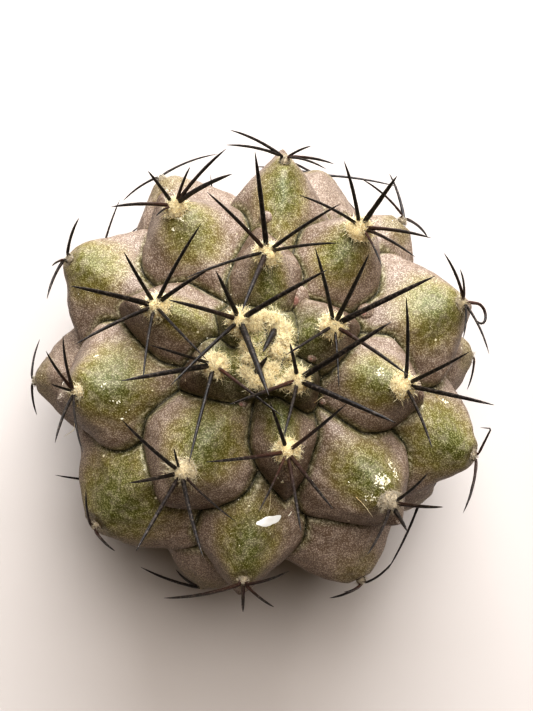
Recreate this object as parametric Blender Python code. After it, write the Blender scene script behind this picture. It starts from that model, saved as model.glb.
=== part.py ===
"""Copiapoa cactus: one young globular plant, cut flat under its corky neck.

The body is one grown solid whose tubercles stand in opposite pairs. Each pair is turned by the same angle
from the last, and each tubercle carries one areole, a cushion of wool with a star of dark spines.
Units are metres, +Z is up, the origin is the middle of the cut, and the crown faces +Z.
"""
import math
import random

import bmesh
import bpy
import numpy as np
from mathutils import Matrix, Vector
from mathutils.bvhtree import BVHTree

# Body
TIP_RADIUS = 0.0292       # middle line to the areoles, where the plant is widest
TIP_RISE = 0.0210         # body's middle to the areoles of the crown
MIDDLE_HEIGHT = 0.0205    # cut to the body's middle
NECK_RADIUS = 0.0108      # corky neck at the cut
NECK_FLARE = 0.30         # how much the neck widens on its way up, as a share of the way
NECK_BLEND = 0.0012       # roundness of the corner between neck and body
NECK_SPARE = 0.0050       # length that the cut takes off
BODY_TRIANGLES = 7400
BODY_SUBDIVISIONS = 6
SHARP_ANGLE = 40          # degrees between faces that are shaded apart

# Tubercles
PAIRS = range(-1, 16)     # the pair in the crown wool is -1
FIRST_ANGLE = 132.8       # degrees round the middle line, from +X
PAIR_TURN = 70.1          # degrees from each pair to the next
FIRST_FALL = 9.6          # degrees from the crown's middle to pair 0
FALL_STEP = 5.8           # degrees for each later pair
FALL_GROWTH = 0.18        # degrees for each pair squared
TUBERCLE_DEPTH = 0.0054   # areole to groove on a full grown tubercle
REACH_IN = 0.0105         # areole to groove towards the crown
REACH_OUT = 0.0095        # areole to groove away from the crown
REACH_SIDE = 0.0090       # areole to groove sideways
YOUNG_SHARE = 0.75        # share by which the youngest tubercles are smaller
YOUNG_PAIRS = 4.4         # pairs over which that share fades
YOUNG_POWER = 1.5         # how late and fast it fades
DEPTH_GROWTH = 0.4        # power of a tubercle's size by which its depth grows
TIP_ROUND = 0.055         # roundness of a tubercle's top, as a share of its reach
KEEL = 1.18               # 2 makes tubercles round, and less gives them keels towards the crown and sideways
GROOVE_ROUND = 0.00022    # roundness of the grooves
CREASE = 0.0009           # depth of the narrow crease along each groove
CREASE_WIDTH = 0.0005     # difference of the two least depths over which the crease fades
CHIN_OUT = 0.0043         # areole to the chin below it
CHIN_DROP = 0.0016        # chin's top under the areole's height
CHIN_SPREAD = 0.62        # chin's reach as a share of the tubercle's
CHIN_ROUND = 0.0005       # roundness between a tubercle and its chin
OVERHANG = 0.0014         # how far the chin leans out over the groove
OVERHANG_END = 1.4        # share of the reach at which that lean ends
FACING = 0.2              # a tubercle shapes the skin only where it faces nearly its way
SEAT_DEPTH = 0.0008       # flat seat of the wool under the tubercle's top
SEAT_RADIUS = 0.0024

# Areoles
GAP = 0.0003              # between pieces that touch
CUSHION_RADIUS = 0.0019
CUSHION_HEIGHT = 0.0016
CUSHION_LEAST = 0.66      # smallest cushion as a share of the full one
WORN_PAIR = 6             # from this pair on the wool is worn down to the smallest cushion
SPINE_LENGTH = 0.0125
SPINE_SHORTEST = 0.0045
LOWEST_LIFT = -0.1        # a spine's tip over its root, as a share of its length
SPINE_SIDES = 3
SPINE_CUTS = 1
SPINE_TIP = 0.18          # tip's radius as a share of the base
SPINE_TAPER = 1.6         # power of the taper: over 1, it comes mostly near the tip
SPINE_BOW = 0.035         # bend as a share of the length
ROOT_HEIGHT = 0.00075     # spine's root over its cushion's underside
ROOT_SPREAD = 0.0006      # spine's root from its cushion's middle
CLEARANCE = 0.00045       # between spines, and from spine to body
RIM_SLACK = 0.1           # a cushion's rim is what lies this near a ball's middle, as a share of its radius
HIDDEN_SPINES = 6         # most spines of an areole that the photograph hides
HIDDEN_TRIES = 24
HIDDEN_SWING = 0.3        # how far such a spine leaves its even place round the areole, as a share of the step
FIRST_HIDING = 6          # the first pair that has such spines
FIRST_UNDER = 12          # the first pair that is under the plant
HIDDEN_LIFT = (-2, 50)    # degrees over the seat
HIDDEN_SHARE = (0.6, 0.95)  # of the full length
HIDDEN_WIDTH = (0.00025, 0.00034)
LEAST_SPINES = 5          # an areole with fewer may also have spines that peep out behind the plant's edge
PEEP = -0.6               # such a spine's direction along the line to the viewer is under this
PEEP_REACH = 0.0302       # its tip across the view from the middle line is under this
ALIKE = 0.8               # two spines of an areole whose directions agree more than this are alike
LONGEST_SHARE = 1.6       # a spine is at most this much longer than it looks in the photograph
LENGTH_STEP = 0.04        # between the lengths that are tried
SPINE_SAMPLES = 34
ROOT_FREE = 1.25          # cushion radii from its root within which a spine may come near the body
OUTER_SHARE = 1 / 3       # share of a spine's length past which it clears its own areole's others
SPINE_TRIES = 14
SEED = 7

# Crown
CROWN_DROP = 0.0012       # flat seat of the crown wool under the top of the tip surface
CROWN_LONG = 0.0041       # crown wool, half its length
CROWN_WIDE = 0.0025       # crown wool, half its width
CROWN_HEIGHT = 0.0013
CROWN_TURN = 67           # degrees from +X to its length
CROWN_PIXEL = (266, 351)  # its middle in the photograph
CROWN_RIM = (1.1, 1.35)   # shares of the crown wool's outline between which its flat seat runs out

# The photograph's view, for places that are read from it in its pixels, 533 wide and 711 high
PIXELS_PER_METRE = 8000
VIEW_DISTANCE = 0.14375
MIDDLE_PIXEL = (264, 370)
VIEW_TURN_X = -8.0        # degrees
VIEW_TURN_Y = 3.7         # degrees
LAST_FACING = 8           # the last pair that faces the viewer: later ones show at the plant's edge

# Areoles in the photograph: (pair, side): (areole's pixel, [(spine tip's pixel, width in pixels), ...])
SEEN = {
    (0, 0): ((240, 321), [(216, 271, 7), (169, 300, 7), (327, 270, 8), (170, 386, 6), (269, 396, 10)]),
    (0, 1): ((297, 380), [(391, 322, 9), (396, 423, 9), (230, 404, 6), (290, 343, 6), (284, 436, 6)]),
    (1, 0): ((215, 365), [(121, 381, 8), (150, 345, 5), (189, 463, 6), (282, 416, 5)]),
    (1, 1): ((333, 326), [(315, 248, 6), (369, 254, 7), (435, 276, 9), (286, 355, 5), (339, 390, 4),
                          (409, 376, 6)]),
    (2, 0): ((287, 451), [(270, 402, 6), (346, 404, 6), (206, 462, 6), (258, 513, 4), (301, 532, 6),
                          (333, 509, 6)]),
    (2, 1): ((267, 253), [(255, 152, 8), (207, 192, 6), (186, 278, 5), (340, 204, 6), (339, 243, 5),
                          (242, 311, 8)]),
    (3, 0): ((404, 385), [(406, 297, 6), (469, 352, 6), (494, 405, 7), (432, 448, 5)]),
    (3, 1): ((156, 306), [(124, 252, 6), (201, 224, 6), (71, 286, 8), (76, 344, 6), (208, 270, 7),
                          (143, 382, 5), (207, 360, 5)]),
    (4, 0): ((360, 228), [(299, 195, 5), (344, 161, 6), (397, 176, 8), (431, 238, 6), (415, 257, 5),
                          (382, 267, 4)]),
    (4, 1): ((182, 472), [(122, 420, 6), (129, 483, 6), (136, 551, 7), (203, 557, 7), (235, 521, 4),
                          (174, 448, 4)]),
    (5, 0): ((175, 206), [(111, 207, 6), (148, 171, 6), (190, 167, 5), (226, 149, 6), (232, 174, 8),
                          (156, 216, 4)]),
    (5, 1): ((391, 503), [(428, 473, 5), (443, 507, 6), (367, 555, 5), (407, 531, 7)]),
    (6, 0): ((74, 392), [(46, 351, 5), (63, 336, 5), (51, 384, 4), (55, 443, 5), (83, 453, 4)]),
    (6, 1): ((464, 302), [(444, 253, 5), (460, 269, 4), (489, 354, 4), (463, 339, 4)]),
    (7, 0): ((243, 584), [(164, 598, 6), (289, 571, 5), (274, 607, 5), (243, 612, 6)]),
    (7, 1): ((285, 157), [(230, 130, 5), (226, 145, 5), (334, 164, 5), (326, 169, 4), (311, 146, 4)]),
    (8, 0): ((477, 457), [(494, 423, 4), (463, 513, 5), (470, 491, 4)]),
    (8, 1): ((66, 257), [(79, 218, 5), (52, 266, 4), (47, 299, 5)]),
    (9, 0): ((405, 218), [(360, 178, 4), (423, 258, 4)]),
    (9, 1): ((93, 528), [(86, 490, 4), (115, 551, 5)]),
    (10, 0): ((160, 176), [(123, 201, 4)]),
    (10, 1): ((363, 584), [(394, 560, 4), (344, 592, 4)]),
    (11, 0): ((32, 381), [(40, 339, 4), (37, 415, 4)]),
    (11, 1): ((474, 355), [(467, 390, 4)]),
}
# How broad a tubercle is sideways and outwards, next to its pair's common size, where the photograph shows it
BREADTH = {
    (2, 0): (0.72, 1.20), (2, 1): (0.80, 1.10), (3, 1): (0.78, 1.15), (4, 0): (0.85, 0.90), (4, 1): (1.15, 1.15),
    (5, 1): (0.95, 1.05), (6, 0): (1.15, 1.00), (6, 1): (1.10, 1.00), (7, 0): (0.82, 1.15), (7, 1): (0.68, 1.10),
    (9, 1): (1.35, 1.35), (11, 0): (0.90, 0.90),
}
# The two young spines in the crown wool: (root's pixel, tip's pixel, width in pixels, rise in metres)
CROWN_SPINES = [((274, 331), (263, 352), 9, 0.0026), ((257, 371), (267, 357), 8, 0.0014)]

BODY_COLOUR = (0.200, 0.170, 0.075, 1.0)
SPINE_COLOUR = (0.020, 0.014, 0.010, 1.0)
WOOL_COLOUR = (0.700, 0.600, 0.340, 1.0)


def material(name, colour, roughness):
    """A plain surface of one colour."""
    made = bpy.data.materials.new(name)
    made.use_nodes = True
    shader = made.node_tree.nodes["Principled BSDF"]
    shader.inputs["Base Color"].default_value = colour
    shader.inputs["Roughness"].default_value = roughness
    shader.inputs["Metallic"].default_value = 0.0
    return made


def view_axes():
    """The photograph's axes in the plant's frame, as the rows right, up and towards the viewer."""
    turn_x = Matrix.Rotation(math.radians(VIEW_TURN_X), 3, "X")
    turn_y = Matrix.Rotation(math.radians(VIEW_TURN_Y), 3, "Y")
    return np.array(turn_y @ turn_x)


MIDDLE = np.array([0.0, 0.0, MIDDLE_HEIGHT])
VIEW = view_axes()
VIEWER = MIDDLE + VIEW_DISTANCE * VIEW[2]


def pixel_ray(x, y):
    """Unit direction from the viewer through a pixel of the photograph."""
    right = (x - MIDDLE_PIXEL[0]) / PIXELS_PER_METRE
    up = (MIDDLE_PIXEL[1] - y) / PIXELS_PER_METRE
    ray = right * VIEW[0] + up * VIEW[1] - VIEW_DISTANCE * VIEW[2]
    return ray / np.linalg.norm(ray)


def at_height(x, y, height):
    """The place at this height that shows at a pixel of the photograph."""
    ray = pixel_ray(x, y)
    return VIEWER + ray * ((height - VIEWER[2]) / ray[2])


def unit(vectors):
    """The vectors at length one, along the last axis."""
    return vectors / np.linalg.norm(vectors, axis=-1, keepdims=True)


TIP_AXES = np.array([TIP_RADIUS, TIP_RADIUS, TIP_RISE])
CROWN_LEVEL = MIDDLE_HEIGHT + TIP_RISE - CROWN_DROP
CROWN = at_height(*CROWN_PIXEL, CROWN_LEVEL)
CROWN_WAY = np.array([math.cos(math.radians(CROWN_TURN)), math.sin(math.radians(CROWN_TURN)), 0.0])


def tip_from_rule(pair, side):
    """A tubercle's tip, from the middle, by the turn and the fall of its pair."""
    turn = math.radians(FIRST_ANGLE + PAIR_TURN * pair + 180 * side)
    fall = math.radians(FIRST_FALL + FALL_STEP * pair + FALL_GROWTH * pair * pair)
    way = np.array([math.sin(fall) * math.cos(turn), math.sin(fall) * math.sin(turn), math.cos(fall)])
    return TIP_AXES * way


def tip_from_pixel(x, y):
    """The place, from the middle, where a pixel's ray first meets the surface through all tips."""
    start = (VIEWER - MIDDLE) / TIP_AXES
    ray = pixel_ray(x, y)
    step = ray / TIP_AXES
    half = start @ step
    square = step @ step
    inside = half * half - square * (start @ start - 1)
    return VIEWER - MIDDLE + ray * (-half - math.sqrt(inside)) / square


def tip_at_edge(tip, x, y):
    """The tip moved across the view to a pixel, as deep in the view as it was."""
    ray = pixel_ray(x, y)
    deep = (tip + MIDDLE - VIEWER) @ VIEW[2]
    return VIEWER - MIDDLE + ray * (deep / (ray @ VIEW[2]))


class Tubercle:
    """One tubercle: its tip, its axes there and its size as a share of a full grown one."""

    def __init__(self, pair, side):
        self.pair = pair
        self.seen = SEEN.get((pair, side))
        self.tip = tip_from_rule(pair, side)
        if self.seen and pair <= LAST_FACING:
            self.tip = tip_from_pixel(*self.seen[0])
        elif self.seen:
            self.tip = tip_at_edge(self.tip, *self.seen[0])
        self.foot = self.tip / np.linalg.norm(self.tip / TIP_AXES)
        self.axis = unit(self.tip / TIP_AXES ** 2)
        self.sink = (self.foot - self.tip) @ self.axis
        self.side = unit(np.cross([0.0, 0.0, 1.0], self.axis))
        self.out = np.cross(self.side, self.axis)
        self.size = 1 - YOUNG_SHARE * math.exp(-((pair + 1) / YOUNG_PAIRS) ** YOUNG_POWER)
        self.wide, self.long = BREADTH.get((pair, side), (1.0, 1.0))
        self.deep = self.size ** DEPTH_GROWTH
        self.cushion = CUSHION_LEAST if pair >= WORN_PAIR else max(CUSHION_LEAST, self.size)
        self.seat = MIDDLE + self.tip - SEAT_DEPTH * self.size * self.axis


def tubercles():
    """All tubercles, from the crown down."""
    return [Tubercle(pair, side) for pair in PAIRS for side in (0, 1)]


def rounded(distance):
    """Distance from a line whose edge is rounded off."""
    return np.sqrt(distance ** 2 + TIP_ROUND ** 2) - TIP_ROUND


def keeled(away, across):
    """Distance from a tip that has rounded keels along both directions."""
    return (rounded(away) ** KEEL + rounded(across) ** KEEL) ** (1 / KEEL)


def soft_least(first, second, width):
    """The smaller of two depths, with a rounded corner where they are alike."""
    low = np.minimum(first, second)
    return low - width * np.log(np.exp((low - first) / width) + np.exp((low - second) / width))


def skin(ways, plants):
    """The body's surface in the given unit directions from its middle."""
    shell = ways / np.linalg.norm(ways / TIP_AXES, axis=1, keepdims=True)
    normals = unit(shell / TIP_AXES ** 2)
    depths = []
    leans = []
    for plant in plants:
        offset = shell - plant.foot
        out = offset @ plant.out / (plant.size * plant.long)
        side = offset @ plant.side / (plant.size * plant.wide)
        share = keeled(np.where(out < 0, out / REACH_IN, out / REACH_OUT), side / REACH_SIDE)
        spread = keeled((out - CHIN_OUT) / REACH_OUT, side / REACH_SIDE) / CHIN_SPREAD
        chin = CHIN_DROP + TUBERCLE_DEPTH * spread
        depth = plant.sink + plant.deep * soft_least(TUBERCLE_DEPTH * share, chin, CHIN_ROUND)
        facing = normals @ plant.axis
        depths.append(np.where(facing > FACING, depth, 1.0))
        lean = OVERHANG * plant.size * np.clip(out / CHIN_OUT, 0, 1) * np.clip(OVERHANG_END - share, 0, 1)
        leans.append(lean[:, None] * plant.out)
    depths = np.array(depths)
    least, second = np.partition(depths, 1, axis=0)[:2]
    weights = np.exp((least - depths) / GROOVE_ROUND)
    depth = least - GROOVE_ROUND * np.log(weights.sum(axis=0))
    weights /= weights.sum(axis=0)
    depth += CREASE * np.exp(-(second - least) / CREASE_WIDTH)
    points = shell - depth[:, None] * normals + np.einsum("kp,kpc->pc", weights, np.array(leans))
    for plant in plants:
        offset = points - plant.tip
        rise = offset @ plant.axis + SEAT_DEPTH * plant.size
        across = np.linalg.norm(offset - np.outer(offset @ plant.axis, plant.axis), axis=1)
        over = (rise > 0) & (across < SEAT_RADIUS)
        points[over] -= np.outer(rise[over], plant.axis)
    points = flat_crown(points)
    return with_neck(points) + MIDDLE


def crown_share(points):
    """Distance from the crown's middle as a share of the crown wool's own outline."""
    offset = points - (CROWN - MIDDLE)
    long = offset @ CROWN_WAY
    wide = offset[:, 1] * CROWN_WAY[0] - offset[:, 0] * CROWN_WAY[1]
    return np.hypot(long / CROWN_LONG, wide / CROWN_WIDE)


def flat_crown(points):
    """The points with the crown's middle brought to one level, which the crown wool sits on."""
    start, end = CROWN_RIM
    near = np.clip((end - crown_share(points)) / (end - start), 0, 1) * (points[:, 2] > 0)
    points[:, 2] += near * (CROWN_LEVEL - MIDDLE_HEIGHT - points[:, 2])
    return points


def with_neck(points):
    """The points with the corky neck added under the body."""
    length = np.linalg.norm(points, axis=1)
    ways = points / length[:, None]
    across = np.hypot(ways[:, 0], ways[:, 1])
    down = np.maximum(-ways[:, 2], 1e-6)
    rise = MIDDLE_HEIGHT - down * length
    side = (NECK_RADIUS + NECK_FLARE * np.clip(rise, 0, MIDDLE_HEIGHT)) / np.maximum(across, 1e-6)
    neck = np.minimum(side, (MIDDLE_HEIGHT + NECK_SPARE) / down)
    reach = -soft_least(-length, -neck, NECK_BLEND)
    reach = np.where(ways[:, 2] < 0, reach, length)
    return ways * reach[:, None]


def add_object(name, mesh, group, look):
    """A smooth shaded object of this mesh in the group."""
    made = bpy.data.objects.new(name, mesh)
    group.objects.link(made)
    mesh.materials.clear()
    mesh.materials.append(look)
    mesh.shade_smooth()
    return made


def applied(item):
    """The item's mesh with its modifiers applied."""
    graph = bpy.context.evaluated_depsgraph_get()
    return bpy.data.meshes.new_from_object(item.evaluated_get(graph))


def make_body(plants, group, look):
    """The body: a sphere laid on the skin, thinned where it is plain, and cut flat under its neck."""
    shape = bmesh.new()
    bmesh.ops.create_icosphere(shape, subdivisions=BODY_SUBDIVISIONS, radius=1.0)
    ways = np.array([vertex.co for vertex in shape.verts])
    for vertex, place in zip(shape.verts, skin(unit(ways), plants)):
        vertex.co = place
    mesh = bpy.data.meshes.new("body")
    count = len(shape.faces)
    shape.to_mesh(mesh)
    shape.free()
    body = add_object("body", mesh, group, look)
    thin = body.modifiers.new("thin", "DECIMATE")
    thin.ratio = BODY_TRIANGLES / count
    mesh = applied(body)
    body.modifiers.clear()
    shape = bmesh.new()
    shape.from_mesh(mesh)
    whole = shape.verts[:] + shape.edges[:] + shape.faces[:]
    cut = bmesh.ops.bisect_plane(shape, geom=whole, plane_co=(0, 0, 0), plane_no=(0, 0, 1), clear_inner=True)
    rim = [item for item in cut["geom_cut"] if isinstance(item, bmesh.types.BMEdge)]
    cap = bmesh.ops.contextual_create(shape, geom=rim)["faces"]
    bmesh.ops.triangulate(shape, faces=[face for face in shape.faces if face not in cap])
    bmesh.ops.recalc_face_normals(shape, faces=shape.faces[:])
    shape.to_mesh(mesh)
    shape.free()
    body.data = mesh
    mesh.set_sharp_from_angle(angle=math.radians(SHARP_ANGLE))
    return body


def dome(name, place, axis, sizes, turn, group, look):
    """A cushion with a flat underside at the place, its sizes given as half length, half width and height."""
    shape = bmesh.new()
    bmesh.ops.create_icosphere(shape, subdivisions=2, radius=1.0)
    low = [vertex for vertex in shape.verts if vertex.co.z < -RIM_SLACK]
    bmesh.ops.delete(shape, geom=low, context="VERTS")
    rim = [edge for edge in shape.edges if edge.is_boundary]
    for vertex in shape.verts:
        if vertex.is_boundary:
            vertex.co = Vector((vertex.co.x, vertex.co.y, 0)).normalized()
    bmesh.ops.contextual_create(shape, geom=rim)
    bmesh.ops.recalc_face_normals(shape, faces=shape.faces[:])
    upright = Vector(axis).to_track_quat("Z", "Y").to_matrix().to_4x4()
    if turn is not None:
        upright = Matrix.Rotation(turn, 4, "Z")
    stand = Matrix.Translation(place) @ upright @ Matrix.Diagonal((*sizes, 1))
    bmesh.ops.transform(shape, matrix=stand, verts=shape.verts)
    mesh = bpy.data.meshes.new(name)
    shape.to_mesh(mesh)
    shape.free()
    return add_object(name, mesh, group, look)


def spine_place(root, tip, bow, along):
    """The place on a spine's bowed middle line at a share of its length."""
    return root + along * (tip - root) + 4 * along * (1 - along) * bow


SPINE_SHARES = np.linspace(0, 1, SPINE_SAMPLES)


def spine_points(root, tip, bow):
    """Points all along a spine."""
    return spine_place(root, tip, bow, SPINE_SHARES[:, None])


def spine_width(along, radius):
    """A spine's radius at a share of its length: nearly even at first, then drawn to a point."""
    return radius * (1 - (1 - SPINE_TIP) * along ** SPINE_TAPER)


def add_spine(name, line, radius, group, look):
    """A spine as a cone that is bent along its line."""
    root, tip, bow = line
    shape = bmesh.new()
    bmesh.ops.create_cone(shape, cap_ends=True, segments=SPINE_SIDES, radius1=1.0, radius2=1.0, depth=1.0)
    long = [edge for edge in shape.edges if abs(edge.verts[0].co.z - edge.verts[1].co.z) > 0.5]
    bmesh.ops.subdivide_edges(shape, edges=long, cuts=SPINE_CUTS, use_grid_fill=True)
    way = Vector(tip - root)
    frame = np.array(way.to_track_quat("Z", "Y").to_matrix())
    for vertex in shape.verts:
        along = vertex.co.z + 0.5
        flat = np.array([vertex.co.x, vertex.co.y, 0.0]) * spine_width(along, radius)
        vertex.co = spine_place(root, tip, bow, along) + frame @ flat
    mesh = bpy.data.meshes.new(name)
    shape.to_mesh(mesh)
    shape.free()
    return add_object(name, mesh, group, look)


CROWN_OWNER = -1


class Thicket:
    """What stands already, so that each new spine clears it."""

    def __init__(self, body, plants):
        shape = bmesh.new()
        shape.from_mesh(body.data)
        self.body = BVHTree.FromBMesh(shape)
        shape.free()
        self.places = np.zeros((0, 3))
        self.radii = np.zeros(0)
        self.owners = np.zeros(0, int)
        for number, plant in enumerate(plants):
            if plant.pair >= 0:
                heart = plant.seat + plant.axis * GAP
                self.add(number, heart[None], np.array([CUSHION_RADIUS * plant.cushion]))
        for share in (-0.5, 0.0, 0.5):
            place = CROWN + CROWN_WAY * CROWN_LONG * share
            self.add(CROWN_OWNER, place[None], np.array([CROWN_HEIGHT]))

    def add(self, owner, places, radii):
        """Adds balls that belong to an areole."""
        self.places = np.concatenate([self.places, places])
        self.radii = np.concatenate([self.radii, radii])
        self.owners = np.concatenate([self.owners, np.full(len(places), owner)])

    def room(self, owner, line, radius):
        """The least clearance of a spine from the body and from all that other areoles carry."""
        root, tip, bow = line
        points = spine_points(root, tip, bow)
        widths = spine_width(SPINE_SHARES, radius)
        free = np.linalg.norm(points - root, axis=1) > CUSHION_RADIUS * ROOT_FREE
        points = points[free]
        widths = widths[free]
        least = (points[:, 2] - widths).min()
        others = self.owners != owner
        distance = np.linalg.norm(points[:, None] - self.places[others][None], axis=2)
        least = min(least, (distance - widths[:, None] - self.radii[others][None]).min())
        for point, width in zip(points, widths):
            spot, normal, face, gap = self.body.find_nearest(Vector(point))
            if (Vector(point) - spot).dot(normal) < 0:
                return -1.0
            least = min(least, gap - width)
        return least

    def hides(self, line):
        """Whether the body hides a spine's outer half from the photograph's viewer."""
        root, tip, bow = line
        for point in (root + 0.5 * (tip - root), tip):
            way = point - VIEWER
            spot, normal, face, gap = self.body.ray_cast(Vector(VIEWER), Vector(unit(way)))
            if spot is None or gap > np.linalg.norm(way):
                return False
        return True

    def same(self, owner, line, radius):
        """The least clearance of a spine's outer part from its own areole's other spines."""
        root, tip, bow = line
        points = spine_points(root, tip, bow)[int(SPINE_SAMPLES * OUTER_SHARE):]
        own = self.owners == owner
        own[:len(own)] &= self.radii < CUSHION_RADIUS * 0.5
        if not own.any():
            return 1.0
        distance = np.linalg.norm(points[:, None] - self.places[own][None], axis=2)
        return (distance - radius - self.radii[own][None]).min()

    def take(self, owner, line, radius):
        """Adds a spine to what stands."""
        root, tip, bow = line
        self.add(owner, spine_points(root, tip, bow), spine_width(SPINE_SHARES, radius))


def spine_root(plant, way):
    """Where a spine that leaves in this direction stands in its areole's cushion."""
    level = way - (way @ plant.axis) * plant.axis
    lift = GAP + ROOT_HEIGHT * plant.cushion
    return plant.seat + plant.axis * lift + unit(level) * ROOT_SPREAD * plant.cushion


def lengths(nominal, least):
    """Lengths to try, from the nominal one outwards in small steps."""
    tried = [nominal]
    for step in range(1, SPINE_TRIES):
        tried += [nominal * (1 + LENGTH_STEP * step), nominal * (1 - LENGTH_STEP * step)]
    return [length for length in tried if length >= least]


def seen_lines(plant, x, y):
    """Ways to lay a spine whose tip shows at this pixel, the likeliest first."""
    ray = pixel_ray(x, y)
    heart = plant.seat + plant.axis * GAP
    near = VIEWER + ray * ((heart - VIEWER) @ ray)
    root = spine_root(plant, near - heart)
    near = VIEWER + ray * ((root - VIEWER) @ ray)
    across = np.linalg.norm(near - root)
    nominal = max(min(SPINE_LENGTH, LONGEST_SHARE * across), across * (1 + LENGTH_STEP), SPINE_SHORTEST)
    for length in lengths(nominal, max(across, SPINE_SHORTEST)):
        depth = math.sqrt(max(0.0, length * length - across * across))
        ends = sorted([near - ray * depth, near + ray * depth], key=lambda end: -(end - root) @ plant.axis)
        for tip in ends:
            if (tip - root) @ plant.axis > LOWEST_LIFT * length:
                yield root, tip, SPINE_BOW * length * plant.axis


def drawn_line(plant, clock, draw):
    """A spine that the photograph hides, by its bearing round the areole and a seeded lift and length."""
    lift = math.radians(draw.uniform(*HIDDEN_LIFT))
    level = math.cos(clock) * plant.out + math.sin(clock) * plant.side
    way = math.cos(lift) * level + math.sin(lift) * plant.axis
    root = spine_root(plant, way)
    length = SPINE_LENGTH * draw.uniform(*HIDDEN_SHARE)
    return root, root + way * length, SPINE_BOW * length * plant.axis


def add_hidden(spines, number, plant, thicket, strict, draw):
    """Adds an areole's spines that the body hides from the photograph, wholly if strict."""
    start = draw.uniform(0, math.tau)
    under = plant.pair >= FIRST_UNDER
    for step in range(HIDDEN_SPINES):
        radius = draw.uniform(*HIDDEN_WIDTH)
        for attempt in range(HIDDEN_TRIES):
            if not strict and len(spines) >= LEAST_SPINES:
                return
            clock = start + math.tau * (step + draw.uniform(-HIDDEN_SWING, HIDDEN_SWING)) / HIDDEN_SPINES
            line = drawn_line(plant, clock, draw)
            way = unit(line[1] - line[0])
            alike = any(way @ unit(other[1] - other[0]) > ALIKE for other, width in spines)
            peeps = np.linalg.norm(VIEW[:2] @ (line[1] - MIDDLE)) < PEEP_REACH
            fits = thicket.hides(line) if strict else peeps and (under or way @ VIEW[2] < PEEP)
            if alike or not fits:
                continue
            if thicket.room(number, line, radius) > CLEARANCE and thicket.same(number, line, radius) > 0:
                spines.append((line, radius))
                thicket.take(number, line, radius)
                break


def plan_spines(body, plants):
    """Each areole's spines as (line, radius): first those in the photograph, then the hidden ones."""
    draw = random.Random(SEED)
    thicket = Thicket(body, plants)
    plans = [[] for plant in plants]
    crown = []
    for (root_x, root_y), (tip_x, tip_y), width, rise in CROWN_SPINES:
        level = CROWN_LEVEL + GAP + CROWN_HEIGHT / 2
        line = (at_height(root_x, root_y, level), at_height(tip_x, tip_y, level + rise), np.zeros(3))
        crown.append((line, width / PIXELS_PER_METRE / 2))
        thicket.take(CROWN_OWNER, line, width / PIXELS_PER_METRE / 2)
    for number, plant in enumerate(plants):
        for x, y, width in (plant.seen[1] if plant.seen else []):
            radius = 0.5 * width / PIXELS_PER_METRE
            for line in seen_lines(plant, x, y):
                if thicket.room(number, line, radius) > CLEARANCE and thicket.same(number, line, radius) > 0:
                    plans[number].append((line, radius))
                    thicket.take(number, line, radius)
                    break
    for strict in (True, False):
        for number, plant in enumerate(plants):
            if plant.pair >= FIRST_HIDING:
                add_hidden(plans[number], number, plant, thicket, strict, draw)
    return plans, crown


def fused(name, base, spines, group, look):
    """One solid of a cushion and the spines that stand in it."""
    parts = bpy.data.collections.new(name + " spines")
    bpy.context.scene.collection.children.link(parts)
    for step, (line, radius) in enumerate(spines):
        add_spine(f"{name} spine {step}", line, radius, parts, look)
    union = base.modifiers.new("spines", "BOOLEAN")
    union.operation = "UNION"
    union.operand_type = "COLLECTION"
    union.collection = parts
    union.solver = "EXACT"
    mesh = applied(base)
    base.modifiers.clear()
    base.data = mesh
    mesh.materials.clear()
    mesh.materials.append(look)
    for item in list(parts.objects):
        bpy.data.objects.remove(item)
    bpy.data.collections.remove(parts)


def main():
    for item in list(bpy.data.objects):
        bpy.data.objects.remove(item)
    group = bpy.data.collections.new("copiapoa cactus")
    bpy.context.scene.collection.children.link(group)
    flesh = material("body skin", BODY_COLOUR, 0.6)
    horn = material("spine", SPINE_COLOUR, 0.5)
    felt = material("crown wool", WOOL_COLOUR, 0.95)
    plants = tubercles()
    body = make_body(plants, group, flesh)
    plans, crown = plan_spines(body, plants)
    sizes = (CROWN_LONG, CROWN_WIDE, CROWN_HEIGHT)
    place = CROWN + np.array([0, 0, GAP])
    wool = dome("crown_wool", place, (0, 0, 1), sizes, math.radians(CROWN_TURN), group, felt)
    fused("crown_wool", wool, crown, group, felt)
    count = 0
    for plant, spines in zip(plants, plans):
        if plant.pair < 0:
            continue
        count += 1
        name = f"areole_{count:02d}"
        place = plant.seat + plant.axis * GAP
        sizes = plant.cushion * np.array([CUSHION_RADIUS, CUSHION_RADIUS, CUSHION_HEIGHT])
        cushion = dome(name, place, plant.axis, sizes, None, group, horn)
        fused(name, cushion, spines, group, horn)


main()
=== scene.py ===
"""Copiapoa cactus: the looks of one young globular plant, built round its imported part.

Run as a script, it builds the waxy body, the wool and spines of every areole, the crown wool, the small marks
on the skin, and a plain stage. Units are metres, +Z is up, and the crown faces +Z.
"""

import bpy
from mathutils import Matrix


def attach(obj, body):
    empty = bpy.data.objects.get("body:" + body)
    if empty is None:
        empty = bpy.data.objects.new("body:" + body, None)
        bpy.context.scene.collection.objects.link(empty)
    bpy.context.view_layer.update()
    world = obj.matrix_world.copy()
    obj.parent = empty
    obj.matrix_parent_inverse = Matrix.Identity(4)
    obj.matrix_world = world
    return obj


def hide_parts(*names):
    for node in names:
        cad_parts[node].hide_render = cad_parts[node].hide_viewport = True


bl_info = {
    "name": "Copiapoa cactus looks",
    "version": (1, 0, 0),
    "blender": (4, 5, 0),
    "location": "3D View > Sidebar > Cactus",
    "description": "Builds the skin, spines and wool of a young globular cactus round its packed part",
    "category": "Object",
}

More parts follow.
